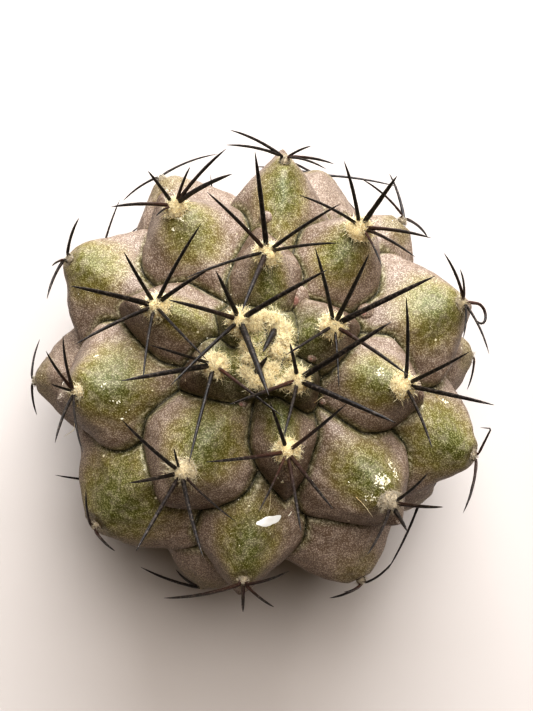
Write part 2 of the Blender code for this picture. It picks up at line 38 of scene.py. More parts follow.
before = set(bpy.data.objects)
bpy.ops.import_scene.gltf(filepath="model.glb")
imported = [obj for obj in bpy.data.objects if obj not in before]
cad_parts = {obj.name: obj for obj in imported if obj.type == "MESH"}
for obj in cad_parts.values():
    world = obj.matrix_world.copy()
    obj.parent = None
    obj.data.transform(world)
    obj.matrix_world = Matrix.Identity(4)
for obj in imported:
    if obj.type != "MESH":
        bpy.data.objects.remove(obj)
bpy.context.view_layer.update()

import math

import bmesh
import bpy
import numpy as np
from bpy.props import FloatProperty, FloatVectorProperty, IntProperty, PointerProperty
from mathutils import Matrix, Vector
from mathutils.bvhtree import BVHTree

MM = 0.001
ROOT = "root"
SEED = 11
UP = np.array([0.0, 0.0, 1.0])
RIGHT = np.array([1.0, 0.0, 0.0])

# The photograph's view
PIXELS_PER_METRE = 8000
VIEW_DISTANCE = 0.14375
MIDDLE_PIXEL = (264, 370)
PHOTO_SIZE = (533, 711)
VIEW_TURN_X = -8.0        # degrees
VIEW_TURN_Y = 3.7         # degrees

# Stage: lamps by place, width, share of the key's power and tint
FLOOR_REACH = 2.0
FLOOR_GAP = 0.00002       # keeps the floor's face apart from the cut's
NEAR_CLIP = 0.01
SKY_FADE = (-0.5, 0.9)    # share of +Y in a direction over which the sky's near colour turns to its far one
SKY_NEAR = (0.345, 0.25, 0.14, 1.0)
SKY_FAR = (1.0, 0.98, 0.96, 1.0)
LAMPS = {
    "key": ((0.04, 0.36, 0.26), 0.34, 1.0, (0.915, 0.975, 1.06)),
    "top": ((0.02, 0.10, 0.42), 0.26, 0.47, (0.985, 0.99, 1.02)),
}

# Body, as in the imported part
TIP_RADIUS = 0.0292       # middle line to the areoles, where the plant is widest
TIP_RISE = 0.0210         # body's middle to the areoles of the crown
MIDDLE_HEIGHT = 0.0205    # cut to the body's middle
NECK_RADIUS = 0.0108      # corky neck at the cut
NECK_FLARE = 0.30         # how much the neck widens on its way up, as a share of the way
NECK_BLEND = 0.0012       # roundness of the corner between neck and body
NECK_SPARE = 0.0050       # length that the cut takes off
PAIRS = range(-1, 16)     # the pair in the crown wool is -1
FIRST_ANGLE = 132.8       # degrees round the middle line, from +X
PAIR_TURN = 70.1          # degrees from each pair to the next
FIRST_FALL = 9.6          # degrees from the crown's middle to pair 0
FALL_STEP = 5.8           # degrees for each later pair
FALL_GROWTH = 0.18        # degrees for each pair squared
TUBERCLE_DEPTH = 0.0054   # areole to groove on a full grown tubercle
REACH_IN = 0.0105         # areole to groove towards the crown
REACH_OUT = 0.0095
REACH_SIDE = 0.0090
YOUNG_SHARE = 0.75        # share by which the youngest tubercles are smaller
YOUNG_PAIRS = 4.4         # pairs over which that share fades
YOUNG_POWER = 1.5         # how late and fast it fades
DEPTH_GROWTH = 0.4        # power of a tubercle's size by which its depth grows
TIP_ROUND = 0.055         # roundness of a tubercle's top, as a share of its reach
KEEL = 1.18               # 2 makes tubercles round, and less gives them keels
GROOVE_ROUND = 0.00022
CHIN_OUT = 0.0043         # areole to the chin below it
CHIN_DROP = 0.0016        # chin's top under the areole's height
CHIN_SPREAD = 0.62        # chin's reach as a share of the tubercle's
CHIN_ROUND = 0.0005
OVERHANG = 0.0014         # how far the chin leans out over the groove
OVERHANG_END = 1.4        # share of the reach at which that lean ends
FACING = 0.2              # a tubercle shapes the skin only where it faces nearly its way
SEAT_DEPTH = 0.0008       # flat seat of the wool under the tubercle's top
SEAT_RADIUS = 0.0024
GAP = 0.0003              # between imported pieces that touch
CUSHION_RADIUS = 0.0019
CUSHION_HEIGHT = 0.0016
CUSHION_LEAST = 0.66      # smallest cushion as a share of the full one
WORN_PAIR = 6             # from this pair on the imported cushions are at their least
CROWN_DROP = 0.0012       # flat seat of the crown wool under the top of the tip surface
CROWN_LONG = 0.0041       # crown wool, half its length
CROWN_WIDE = 0.0025
CROWN_HEIGHT = 0.0013
CROWN_TURN = 67           # degrees from +X to its length
CROWN_PIXEL = (266, 351)  # its middle in the photograph
CROWN_RIM = (1.1, 1.35)   # shares of its outline between which its flat seat runs out
LAST_FACING = 8           # the last pair that faces the viewer: later ones show at the plant's edge
# Where each areole shows in the photograph, by (pair, side)
AREOLES = {
    (0, 0): (240, 321), (0, 1): (297, 380), (1, 0): (215, 365), (1, 1): (333, 326), (2, 0): (287, 451),
    (2, 1): (267, 253), (3, 0): (404, 385), (3, 1): (156, 306), (4, 0): (360, 228), (4, 1): (182, 472),
    (5, 0): (175, 206), (5, 1): (391, 503), (6, 0): (74, 392), (6, 1): (464, 302), (7, 0): (243, 584),
    (7, 1): (285, 157), (8, 0): (477, 457), (8, 1): (66, 257), (9, 0): (405, 218), (9, 1): (93, 528),
    (10, 0): (160, 176), (10, 1): (363, 584), (11, 0): (32, 381), (11, 1): (474, 355),
}
# How broad a tubercle is sideways and outwards, next to its pair's common size, where the photograph shows it
BREADTH = {
    (2, 0): (0.72, 1.20), (2, 1): (0.80, 1.10), (3, 1): (0.78, 1.15), (4, 0): (0.85, 0.90),
    (4, 1): (1.15, 1.15), (5, 1): (0.95, 1.05), (6, 0): (1.15, 1.00), (6, 1): (1.10, 1.00),
    (7, 0): (0.82, 1.15), (7, 1): (0.68, 1.10), (9, 1): (1.35, 1.35), (11, 0): (0.90, 0.90),
}

# Skin
FINENESS = 7              # times that the ball under the skin is divided
GROOVE_BANDS = (0.0010, 0.00045)   # difference of the two least depths under which the mesh gets finer
LOWEST = -0.9             # rise of the lowest directions that get finer
CREASE = 0.0009           # a narrow crease along each groove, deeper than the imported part's
CREASE_WIDTH = 0.0005     # difference of the two least depths over which it fades
SNAP = 0.0023             # radians from a groove within which a point is set on it
NUDGE = 1e-4
WAVES = 24                # sine waves that make up a relief
WAVE_SPREAD = (0.7, 1.4)
RELIEF = ((0.0060, 0.00013), (0.0022, 0.00005))   # swellings of the skin: how far apart, and how high
TINTS = (0.2, 0.8)        # how green a tubercle is: least and most
TINT_SEED = 45948         # gives the greenest tubercles the photograph's places
OLD_PAIR = 9              # after this pair the skin is hardly green
OLD_TINT = 0.2            # of the common tint
GREYEST = (9, 0)          # a younger tubercle that isn't green either
GREEN_SHIFT = (0.38, 0.16)   # how near to the crown a tubercle's green lies: by its tint, and least
GREEN_REACH = (0.7, 0.6)  # how broad it is, likewise
PIT_SHARE = 0.70          # how dark the skin gets between its grains
PALE_SHARE = 0.27         # how pale it gets on them

# Patterns, each by its size, its detail and its roughness. The skin's grain is drawn about twice as wide as
# the real 0.08 mm, which is too fine to show in the render.
PATCH_PATTERN = (3.2 * MM, 3.0, 0.5)
MOTTLE_PATTERN = (0.9 * MM, 3.0, 0.5)
LIP_HIGHLIGHT_PATTERN = (0.5 * MM, 2.0, 0.5)
FINE_PATTERN = (0.22 * MM, 1.0, 0.5)
RING_PATTERN = (1.3 * MM, 6.0, 0.7)
RING_SQUEEZE = 2.2        # rings of the neck lie closer together upwards
FLECK_SPACING = 2.6 * MM
GRAIN_RELIEF = 0.06 * MM
VESSEL_WAVES = 1.2 * MM
VESSELS = ((3.6 * MM, 4.4 * MM), (4.6 * MM, 5.6 * MM))   # inner and outer edge of the cut's ring of vessels
CALLUS_RELIEF = 0.2 * MM
SCURF_SIZE = 0.3 * MM
SCURF_RELIEF = 0.03 * MM

# Spines
SPINE_TIP = 0.18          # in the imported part: tip's radius as a share of the base
SPINE_TAPER = 1.6
SPINE_BOW = 0.035
MID_SHARE = 1 - (1 - SPINE_TIP) * 0.5 ** SPINE_TAPER
WELD = 0.001 * MM         # packed points that are nearer to each other than this are one
TIP_SPAN = 0.25 * MM      # the flat end of a packed spine is smaller than this
TIP_FAR = 2.4 * MM        # and further from its areole's heart than this
SPINE_RINGS = 18
SPINE_ALONG = np.linspace(0, 1, SPINE_RINGS)
SPINE_SLIM = 0.59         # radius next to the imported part's, whose spines have three sides
SPINE_SWELLING = (0.10, 0.14, 0.06)   # at the root: height as a share of the radius, place and width along it
SHAFT_TAPER = 0.26        # how much thinner the shaft is at its end
POINT_TAPER = (0.9, 6)    # how much thinner still its point is, and the power that says how late that comes
UNEVEN = (0.95, 1.05)     # radius from ring to ring
THIN_SPINE = 0.00036      # spines thicker than this are less red
FOOT_SUNK = 0.0003        # a spine's foot under its areole's seat
# Spines whose end is hooked or bent: by areole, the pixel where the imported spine's tip shows, the shares of
# its length where the bend starts and ends, the bend's degrees and the photograph's direction it turns to
HOOKS = {
    (6, 1): ((502, 305), 0.22, 0.95, 215, (0.2, -1.0)),
    (8, 0): ((493, 425), 0.76, 0.86, 95, (-1.0, 0.1)),
}

# Wool. A real hair is about 0.02 mm thick, which wouldn't show, so hairs are fewer and thicker than real.
HAIR_RINGS = 4
HAIR_SIDES = 3
HAIR_TAPER = 0.6
HAIR_CURL = 0.8
HAIR_TWIST = 0.2          # of the curl
HAIR_WIDTHS = (0.7, 1.3)  # least and most, next to the common one
HAIR_LENGTHS = (0.4, 1.2)
HAIR_ROOTS = (0.80, 1.02)   # where hairs start, next to their cushion's surface
HAIR_CROWDING = 0.7       # below 1 more of them stand near the top
WOOL_GROWTH = 1.5         # number of hairs by the areole's size
YOUNG_HAIR = 0.4          # length of the youngest areole's hairs, next to a grown one's
# The fringe and the knob of an areole's wool. Felt: size next to the imported cushion's, lumps, and how far up
# its painted shade is. Hairs: size next to the imported cushion's, and their share of number, length and
# thickness.
WOOL_FELTS = (((1.0, 1.0, 0.40), 0.5, 0.12), ((0.966, 0.966, 1.334), 0.30, 0.26))
WOOL_TUFTS = (((1.15, 1.15, 0.40), 0.75, 0.85, 1.0), ((1.05, 1.05, 1.45), 0.875, 0.60, 0.8))
FELT_FINENESS = 3
FELT_TONES = 0.5          # how much lighter or darker its lumps are
FELT_WAVES = ((4, 9), (15, 12))   # lumps of the felt: how close together, and how many waves make them up
FINE_LUMPS = 0.7          # height of the closer ones, of the others'
FELT_FLOOR = 0.08         # depth of the felt's closed underside, of its height
WOOL_LIFT = 0.3 * GAP
WORN_OFF = 0.62           # share of the wool that the oldest areoles have lost
WEARING = (3.0, 7.5)      # pairs over which wool wears
# Wool that looks younger or older than its pair
WEAR = {(5, 0): 0.05, (5, 1): 1.0, (4, 0): 0.0, (4, 1): 0.6, (6, 0): 0.5}
# Small tufts that make up the crown's wool: pixel of each in the photograph and its width in millimetres
CROWN_TUFTS = [
    ((254, 323), 2.2), ((264, 316), 1.4), ((274, 320), 1.9), ((284, 330), 1.7), ((283, 342), 2.2),
    ((276, 352), 1.9), ((290, 353), 1.2), ((246, 346), 1.5), ((249, 359), 1.7), ((246, 372), 1.5),
    ((256, 381), 1.9), ((268, 380), 2.1), ((273, 369), 1.7), ((262, 366), 1.3), ((281, 384), 1.3),
    ((240, 334), 1.2),
]
TUFT_HALF = 0.40          # half of a crown tuft, as a share of its width
TUFT_HEIGHT = 0.42
TUFT_WIDTHS = (0.6, 1.0)  # least and most, next to the common one
TUFT_HEIGHTS = (0.6, 1.5)
TUFT_TONES = (0.3, 0.9)
TUFT_LUMPS = 0.45
TUFT_SPREAD = 1.05        # of its hairs, next to its felt
TUFT_LENGTH = 0.6         # of its hairs, next to a full grown areole's
TUFT_HAIRS = 0.145        # of a full grown areole's, for each millimetre of a crown tuft's width
# Thin hairs between the tufts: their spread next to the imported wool's size, number, length and thickness
CROWN_HAIRS = ((1.15, 1.25, 0.2), 0.5, 0.8, 0.7)
# How far hairs turn from straight out: in an areole, in a crown tuft and between those
TANGLE, TUFT_TANGLE, CROWN_TANGLE = 0.9, 1.2, 1.4

# Marks on the skin, each by its middle's pixel in the photograph, its length and width in millimetres, its
# turn in degrees and the number of its grains, which is 1 for a whole one. The grains at (104, 386), (281,
# 481) and (445, 401) are painted highlights: glints on glossy nodules, laid on as white grains
FLAKES_AND_GLINTS = [
    ((269, 521), 3.9, 1.35, -2, 1), ((290, 514), 0.8, 0.14, 40, 1), ((249, 506), 0.35, 0.2, 0, 1),
    ((96, 356), 0.8, 0.30, 15, 1), ((122, 419), 0.45, 0.4, 0, 1), ((116, 402), 1.7, 0.35, -5, 7),
    ((104, 386), 0.9, 0.6, 60, 6), ((382, 481), 0.95, 0.8, 0, 1), ((382, 481), 2.1, 1.8, 0, 110),
    ((370, 498), 1.3, 0.8, 10, 18), ((393, 470), 2.8, 1.0, -60, 30), ((181, 218), 1.0, 0.9, 0, 22),
    ((173, 230), 0.4, 0.35, 0, 5), ((64, 382), 0.9, 0.5, 30, 6), ((381, 372), 1.2, 1.0, 30, 16),
    ((445, 401), 1.1, 0.6, 0, 12), ((281, 481), 1.3, 0.9, 30, 9),
]
SCABS = [((61, 397), 1.5, 1.1, 20, 26), ((168, 191), 2.6, 1.0, -48, 40), ((400, 522), 1.6, 1.0, -20, 20)]
FLAKE_LIFT = 0.05 * MM
FLAKE_RAGGED = (0.6, 1.15)
RIM_SUNK = -0.3           # of the lift
PATCH_RINGS = np.array([0.45, 0.8, 1.0])
PATCH_SIDES = 21          # of a mark longer than a millimetre
RIM_SOFTENING = (0.4, 0.4, 0.24)   # how much of its own and of the last two sides' reach each of them has
GRAIN_SIDES = 9
GRAIN_SIZE = (0.10 * MM, 0.30 * MM)
GRAIN_WIDTH = 0.65        # of its length
GRAIN_TONES = (0.3, 1.0)
GRAIN_CROWDING = 0.6      # above 0.5 more grains lie near the middle of their mark
FLECKS = 520              # small ones that lie all over the skin
FLECK_SIZE = (0.06 * MM, 0.26 * MM)
FLECK_LOWEST = 0.0108
# Rosy noses of young tubercles: pixel in the photograph and radius in millimetres
NOSES = [
    ((299, 298), 1.5), ((366, 311), 1.0), ((266, 217), 0.8), ((312, 358), 0.55), ((323, 402), 0.45),
    ((243, 403), 0.6),
]
NOSE_FINENESS = 4
NOSE_SHAPE = (1.0, 0.9, 0.60)
NOSE_TURNS = (0.0, 3.0)   # radians
NOSE_LOOK = {"out": 0.05, "across": 0.7, "rim": 9.0, "tint": 0.4, "crown": 99.0, "cork": 0.0}
NOSE_ROSE = (0.86, 0.97)  # where a nose turns rosy, by the cosine from its rosy spot
ROSE_WAY = np.array([-0.45, -0.30, 0.85])   # to the rosy spot: right, up and towards the viewer
ROSE_SHARE = 0.6
# Loose hairs on the skin, each by the pixels of its ends
STRAYS = [
    ((314, 403), (323, 394)), ((271, 493), (271, 514)), ((356, 497), (372, 510)), ((287, 451), (292, 470)),
    ((78, 405), (81, 447)), ((165, 208), (176, 199)), ((436, 396), (449, 404)),
]
STRAY_LIFT = 0.12 * MM
STRAY_CURL = 0.15
STRAY_THICK = 1.4         # next to a common hair


def unit(vectors):
    """The vectors at length one, along the last axis."""
    return vectors / np.linalg.norm(vectors, axis=-1, keepdims=True)


def dot(first, second):
    """Dot products along the last axis."""
    return (first * second).sum(-1)


def step(values, low, high):
    """0 under low, 1 over high, and a smooth rise between."""
    share = np.clip((values - low) / (high - low), 0, 1)
    return share * share * (3 - 2 * share)


def not_along(ways):
    """For each way, +Z or +X, whichever is clear of it."""
    return np.where(np.abs(ways[..., 2:]) < 0.9, UP, RIGHT)


TURN_X = Matrix.Rotation(math.radians(VIEW_TURN_X), 3, "X")
TURN_Y = Matrix.Rotation(math.radians(VIEW_TURN_Y), 3, "Y")
VIEW = np.array(TURN_Y @ TURN_X)
MIDDLE = np.array([0.0, 0.0, MIDDLE_HEIGHT])
VIEWER = MIDDLE + VIEW_DISTANCE * VIEW[2]
TIP_AXES = np.array([TIP_RADIUS, TIP_RADIUS, TIP_RISE])
CROWN_LEVEL = MIDDLE_HEIGHT + TIP_RISE - CROWN_DROP


def pixel_ray(x, y):
    """Unit direction from the viewer through a pixel of the photograph."""
    right = (x - MIDDLE_PIXEL[0]) / PIXELS_PER_METRE
    up = (MIDDLE_PIXEL[1] - y) / PIXELS_PER_METRE
    return unit(right * VIEW[0] + up * VIEW[1] - VIEW_DISTANCE * VIEW[2])


def at_height(x, y, height):
    """The place at this height that shows at a pixel of the photograph."""
    ray = pixel_ray(x, y)
    return VIEWER + ray * ((height - VIEWER[2]) / ray[2])


CROWN = at_height(*CROWN_PIXEL, CROWN_LEVEL)
CROWN_WAY = np.array([math.cos(math.radians(CROWN_TURN)), math.sin(math.radians(CROWN_TURN)), 0.0])


def tip_of(pair, side):
    """A tubercle's tip from the body's middle: by its pair's rule, moved to where the photograph shows it."""
    turn = math.radians(FIRST_ANGLE + PAIR_TURN * pair + 180 * side)
    fall = math.radians(FIRST_FALL + FALL_STEP * pair + FALL_GROWTH * pair * pair)
    tip = TIP_AXES * (math.sin(fall) * math.cos(turn), math.sin(fall) * math.sin(turn), math.cos(fall))
    if (pair, side) not in AREOLES:
        return tip
    ray = pixel_ray(*AREOLES[pair, side])
    if pair > LAST_FACING:
        deep = (tip + MIDDLE - VIEWER) @ VIEW[2]
        return VIEWER - MIDDLE + ray * (deep / (ray @ VIEW[2]))
    start = (VIEWER - MIDDLE) / TIP_AXES
    pace = ray / TIP_AXES
    half = start @ pace
    square = pace @ pace
    return VIEWER - MIDDLE + ray * (-half - math.sqrt(half * half - square * (start @ start - 1))) / square


KEYS = [(pair, side) for pair in PAIRS for side in (0, 1)]
PAIR = np.array([pair for pair, side in KEYS], float)
TIP = np.array([tip_of(pair, side) for pair, side in KEYS])
FOOT = TIP / np.linalg.norm(TIP / TIP_AXES, axis=1, keepdims=True)
AXIS = unit(TIP / TIP_AXES ** 2)
SINK = dot(FOOT - TIP, AXIS)
SIDE = unit(np.cross([0.0, 0.0, 1.0], AXIS))
OUT = np.cross(SIDE, AXIS)
BROAD = np.array([BREADTH.get(key, (1.0, 1.0)) for key in KEYS])
SIZE = 1 - YOUNG_SHARE * np.exp(-((PAIR + 1) / YOUNG_PAIRS) ** YOUNG_POWER)
DEEP = SIZE ** DEPTH_GROWTH
CUSHION = np.maximum(CUSHION_LEAST, np.where(PAIR < WORN_PAIR, SIZE, 0))
SEAT = MIDDLE + TIP - (SEAT_DEPTH * SIZE)[:, None] * AXIS
AGE = step(PAIR, *WEARING)
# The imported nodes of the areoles, numbered from the crown outwards, with the number of each one's tubercle
AREOLE_NODES = {f"areole_{which - 1:02d}": which for which in range(2, len(KEYS))}


def rounded(distance):
    """Distance from a line whose edge is rounded off."""
    return np.sqrt(distance ** 2 + TIP_ROUND ** 2) - TIP_ROUND


def keeled(away, across):
    """Distance from a tip that has rounded keels along both directions."""
    return (rounded(away) ** KEEL + rounded(across) ** KEEL) ** (1 / KEEL)


def soft_least(first, second, width):
    """The smaller of two depths, with a rounded corner where they are alike."""
    low = np.minimum(first, second)
    return low - width * np.log(np.exp((low - first) / width) + np.exp((low - second) / width))


def shell_of(ways):
    """Places on the surface through all tips, from the middle, and its normals there."""
    shell = ways / np.linalg.norm(ways / TIP_AXES, axis=1, keepdims=True)
    return shell, unit(shell / TIP_AXES ** 2)


def tubercle(which, shell, normals):
    """What a tubercle makes of each place: depth, share of its reach, and offsets outwards and sideways.

    It is given by one number for all places, or by one for each.
    """
    offset = shell - FOOT[which]
    size = SIZE[which]
    out = dot(offset, OUT[which]) / size / BROAD[which][..., 1]
    side = dot(offset, SIDE[which]) / size / BROAD[which][..., 0]
    share = keeled(np.where(out < 0, out / REACH_IN, out / REACH_OUT), side / REACH_SIDE)
    spread = keeled((out - CHIN_OUT) / REACH_OUT, side / REACH_SIDE) / CHIN_SPREAD
    depth = soft_least(TUBERCLE_DEPTH * share, CHIN_DROP + TUBERCLE_DEPTH * spread, CHIN_ROUND)
    depth = SINK[which] + DEEP[which] * depth
    return np.where(dot(normals, AXIS[which]) > FACING, depth, 1.0), share, out, side


def crown_share(points):
    """Distance from the crown's middle as a share of the crown wool's own outline."""
    offset = points - (CROWN - MIDDLE)
    wide = offset[:, 1] * CROWN_WAY[0] - offset[:, 0] * CROWN_WAY[1]
    return np.hypot(offset @ CROWN_WAY / CROWN_LONG, wide / CROWN_WIDE)


def with_neck(points):
    """The points with the corky neck added under the body, and how near each is to being neck, 0 to 1."""
    length = np.linalg.norm(points, axis=1)
    ways = points / length[:, None]
    across = np.maximum(np.hypot(ways[:, 0], ways[:, 1]), 1e-6)
    down = np.maximum(-ways[:, 2], 1e-6)
    rise = MIDDLE_HEIGHT - down * length
    side = (NECK_RADIUS + NECK_FLARE * np.clip(rise, 0, MIDDLE_HEIGHT)) / across
    neck = np.minimum(side, (MIDDLE_HEIGHT + NECK_SPARE) / down)
    reach = np.where(ways[:, 2] < 0, -soft_least(-length, -neck, NECK_BLEND), length)
    cork = step(neck - length, -NECK_BLEND, NECK_BLEND) * (ways[:, 2] < 0)
    return ways * reach[:, None], cork


def fields(ways):
    """For unit directions from the middle: the shell, its normals and what every tubercle makes of it."""
    shell, normals = shell_of(ways)
    found = [tubercle(which, shell, normals) for which in range(len(KEYS))]
    return shell, normals, *(np.array([field[part] for field in found]) for part in range(4))


def waves(places, length, draw):
    """A soft random relief over the places, about -1 to 1, whose swellings are this far apart."""
    pace = unit(draw.normal(0, 1, (WAVES, 3))) * (math.tau / length * draw.uniform(*WAVE_SPREAD, (WAVES, 1)))
    return np.sin(places @ pace.T + draw.uniform(0, math.tau, WAVES)).sum(axis=1) / math.sqrt(WAVES / 2)


def skin(ways):
    """The body's surface in unit directions from its middle, and what each place there is like."""
    shell, normals, depths, shares, outs, sides = fields(ways)
    least = depths.min(axis=0)
    owner = depths.argmin(axis=0)
    weights = np.exp((least - depths) / GROOVE_ROUND)
    depth = least - GROOVE_ROUND * np.log(weights.sum(axis=0))
    weights /= weights.sum(axis=0)
    second = np.partition(depths, 1, axis=0)[1]
    depth += CREASE * np.exp(-(second - least) / CREASE_WIDTH)
    draw = np.random.default_rng(SEED)
    for length, height in RELIEF:
        depth += height * waves(shell, length, draw)
    lean = OVERHANG * SIZE[:, None] * np.clip(outs / CHIN_OUT, 0, 1) * np.clip(OVERHANG_END - shares, 0, 1)
    points = shell - depth[:, None] * normals + np.einsum("kp,kc->pc", weights * lean, OUT)
    for which in range(len(KEYS)):
        offset = points - TIP[which]
        rise = offset @ AXIS[which] + SEAT_DEPTH * SIZE[which]
        across = np.linalg.norm(offset - np.outer(offset @ AXIS[which], AXIS[which]), axis=1)
        over = (rise > 0) & (across < SEAT_RADIUS)
        points[over] -= np.outer(rise[over], AXIS[which])
    crown = crown_share(points)
    near = np.clip((CROWN_RIM[1] - crown) / (CROWN_RIM[1] - CROWN_RIM[0]), 0, 1) * (points[:, 2] > 0)
    points[:, 2] += near * (CROWN_LEVEL - MIDDLE_HEIGHT - points[:, 2])
    points, cork = with_neck(points)
    rows = np.arange(len(ways))
    tints = np.random.default_rng(TINT_SEED).uniform(*TINTS, len(KEYS))
    tints[PAIR > OLD_PAIR] *= OLD_TINT
    tints[KEYS.index(GREYEST)] = 0
    looks = {
        "out": outs[owner, rows] / REACH_OUT,
        "across": sides[owner, rows] / REACH_SIDE,
        "rim": (second - least) / MM,
        "tint": tints[owner],
        "crown": np.linalg.norm(points + MIDDLE - CROWN, axis=1) / MM,
        "cork": cork,
    }
    return points + MIDDLE, looks


def on_grooves(ways):
    """The directions, with those that lie close to a groove moved onto it."""
    depths = fields(ways)[2]
    first, second = np.argpartition(depths, 1, axis=0)[:2]
    tangent = unit(np.cross(ways, not_along(ways)))
    other = np.cross(ways, tangent)

    def gap(places):
        shell, normals = shell_of(unit(places))
        return tubercle(second, shell, normals)[0] - tubercle(first, shell, normals)[0]

    here = gap(ways)
    slopes = [(gap(ways + NUDGE * line) - here) / NUDGE for line in (tangent, other)]
    steep = np.maximum(slopes[0] ** 2 + slopes[1] ** 2, 1e-12)
    move = (-here / steep)[:, None] * (slopes[0][:, None] * tangent + slopes[1][:, None] * other)
    near = np.linalg.norm(move, axis=1) < SNAP
    return np.where(near[:, None], unit(ways + move), ways)


def body_mesh():
    """The body as one closed mesh, finer along its grooves, and cut flat under its neck."""
    shape = bmesh.new()
    bmesh.ops.create_icosphere(shape, subdivisions=FINENESS, radius=1.0)
    for band in GROOVE_BANDS:
        ways = unit(np.array([vertex.co for vertex in shape.verts]))
        least, second = np.partition(fields(ways)[2], 1, axis=0)[:2]
        near = (second - least < band) & (ways[:, 2] > LOWEST)
        shape.verts.index_update()
        edges = [edge for edge in shape.edges if near[edge.verts[0].index] and near[edge.verts[1].index]]
        bmesh.ops.subdivide_edges(shape, edges=edges, cuts=1, use_grid_fill=True)
        bmesh.ops.triangulate(shape, faces=shape.faces[:])
    ways = unit(np.array([vertex.co for vertex in shape.verts]))
    points, looks = skin(on_grooves(ways))
    for vertex, place in zip(shape.verts, points):
        vertex.co = place
    for key, values in looks.items():
        layer = shape.verts.layers.float.new(key)
        for vertex, value in zip(shape.verts, values):
            vertex[layer] = value
    whole = shape.verts[:] + shape.edges[:] + shape.faces[:]
    cut = bmesh.ops.bisect_plane(shape, geom=whole, plane_co=(0, 0, 0), plane_no=(0, 0, 1), clear_inner=True)
    rim = [item for item in cut["geom_cut"] if isinstance(item, bmesh.types.BMEdge)]
    made = bmesh.ops.contextual_create(shape, geom=rim)
    bmesh.ops.recalc_face_normals(shape, faces=shape.faces[:])
    for face in shape.faces:
        face.smooth = True
    for face in made["faces"]:
        face.smooth = False
        face.material_index = 1
    mesh = bpy.data.meshes.new("plant_body")
    shape.to_mesh(mesh)
    shape.free()
    return mesh


# Meshes

def mesh_of(name, points, faces, looks):
    """A mesh from arrays of points, of faces with alike corner counts, and of one value for each point."""
    mesh = bpy.data.meshes.new(name)
    mesh.vertices.add(len(points))
    mesh.vertices.foreach_set("co", np.asarray(points, np.float32).ravel())
    corners = sum(part.size for part in faces)
    mesh.loops.add(corners)
    mesh.loops.foreach_set("vertex_index", np.concatenate([part.ravel() for part in faces]).astype(np.int32))
    counts = np.concatenate([np.full(len(part), part.shape[1]) for part in faces])
    mesh.polygons.add(len(counts))
    mesh.polygons.foreach_set("loop_start", np.concatenate([[0], np.cumsum(counts)[:-1]]).astype(np.int32))
    mesh.update(calc_edges=True)
    for key, values in looks.items():
        made = mesh.attributes.new(key, "FLOAT", "POINT")
        made.data.foreach_set("value", np.asarray(values, np.float32))
    mesh.shade_smooth()
    mesh.validate()
    return mesh


def placed(name, data):
    """A new object of the scene."""
    made = bpy.data.objects.new(name, data)
    bpy.context.scene.collection.objects.link(made)
    return made


def add_piece(mesh, material, replaced=()):
    """A piece of the plant, named as its mesh, that rides on the one body and stands for the named nodes."""
    piece = placed(mesh.name, mesh)
    mesh.materials.append(material)
    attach(piece, ROOT)
    if replaced:
        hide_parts(*replaced)
    return piece


def tubes(lines, radii, sides, looks):
    """Points, faces and values of round tubes: lines is (tube, ring, 3), radii (tube, ring)."""
    count, rings = radii.shape
    along = unit(np.gradient(lines, axis=1))
    first = unit(np.cross(along, not_along(along[:, :1])))
    second = np.cross(along, first)
    clock = np.arange(sides) * math.tau / sides
    ring = first[:, :, None] * np.cos(clock)[:, None] + second[:, :, None] * np.sin(clock)[:, None]
    points = lines[:, :, None] + ring * radii[:, :, None, None]
    numbers = np.arange(count * rings * sides).reshape(count, rings, sides)
    after = np.roll(numbers, -1, axis=2)
    quads = np.stack([numbers[:, :-1], after[:, :-1], after[:, 1:], numbers[:, 1:]], axis=-1)
    ends = [numbers[:, 0, ::-1], numbers[:, -1]]
    shape = points.shape[:3]
    values = {key: np.broadcast_to(value[..., None], shape).ravel() for key, value in looks.items()}
    return points.reshape(-1, 3), [quads.reshape(-1, 4), np.concatenate(ends)], values


def joined(parts):
    """One set of points, faces and values from several."""
    points, faces, looks, total = [], [], {}, 0
    for part_points, part_faces, part_looks in parts:
        points.append(part_points)
        faces += [part + total for part in part_faces]
        total += len(part_points)
        for key, values in part_looks.items():
            looks.setdefault(key, []).append(values)
    return np.concatenate(points), faces, {key: np.concatenate(values) for key, values in looks.items()}


# Materials

SOFT = {"interpolation_type": "SMOOTHSTEP"}
ADD, TIMES, TIMES_ADD, LARGER = (
    {"operation": kind} for kind in ("ADD", "MULTIPLY", "MULTIPLY_ADD", "MAXIMUM"))


def colour(code):
    """An sRGB hex value as a linear colour."""
    parts = [int(code[place:place + 2], 16) / 255 for place in (1, 3, 5)]
    return [part / 12.92 if part <= 0.04045 else ((part + 0.055) / 1.055) ** 2.4 for part in parts] + [1.0]


def fill(node, inputs):
    """Links or sets a node's inputs, from a dictionary or from a tuple of its first ones in their order."""
    for key, value in inputs.items() if isinstance(inputs, dict) else enumerate(inputs):
        if isinstance(value, bpy.types.NodeSocket):
            node.id_data.links.new(value, node.inputs[key])
        else:
            node.inputs[key].default_value = value


def put(tree, kind, inputs=(), output=0, **settings):
    """Adds a node with its settings and links, and gives back one of its outputs."""
    node = tree.nodes.new("ShaderNode" + kind)
    for key, value in settings.items():
        setattr(node, key, value)
    fill(node, inputs)
    return node.outputs[output]


def new_material(name, *keys):
    """A material, its node tree and its shader, and the values of these names that its meshes carry."""
    made = bpy.data.materials.new(name)
    made.use_nodes = True
    tree = made.node_tree
    values = [put(tree, "Attribute", (), 2, attribute_name=key) for key in keys]
    return made, tree, tree.nodes["Principled BSDF"], *values


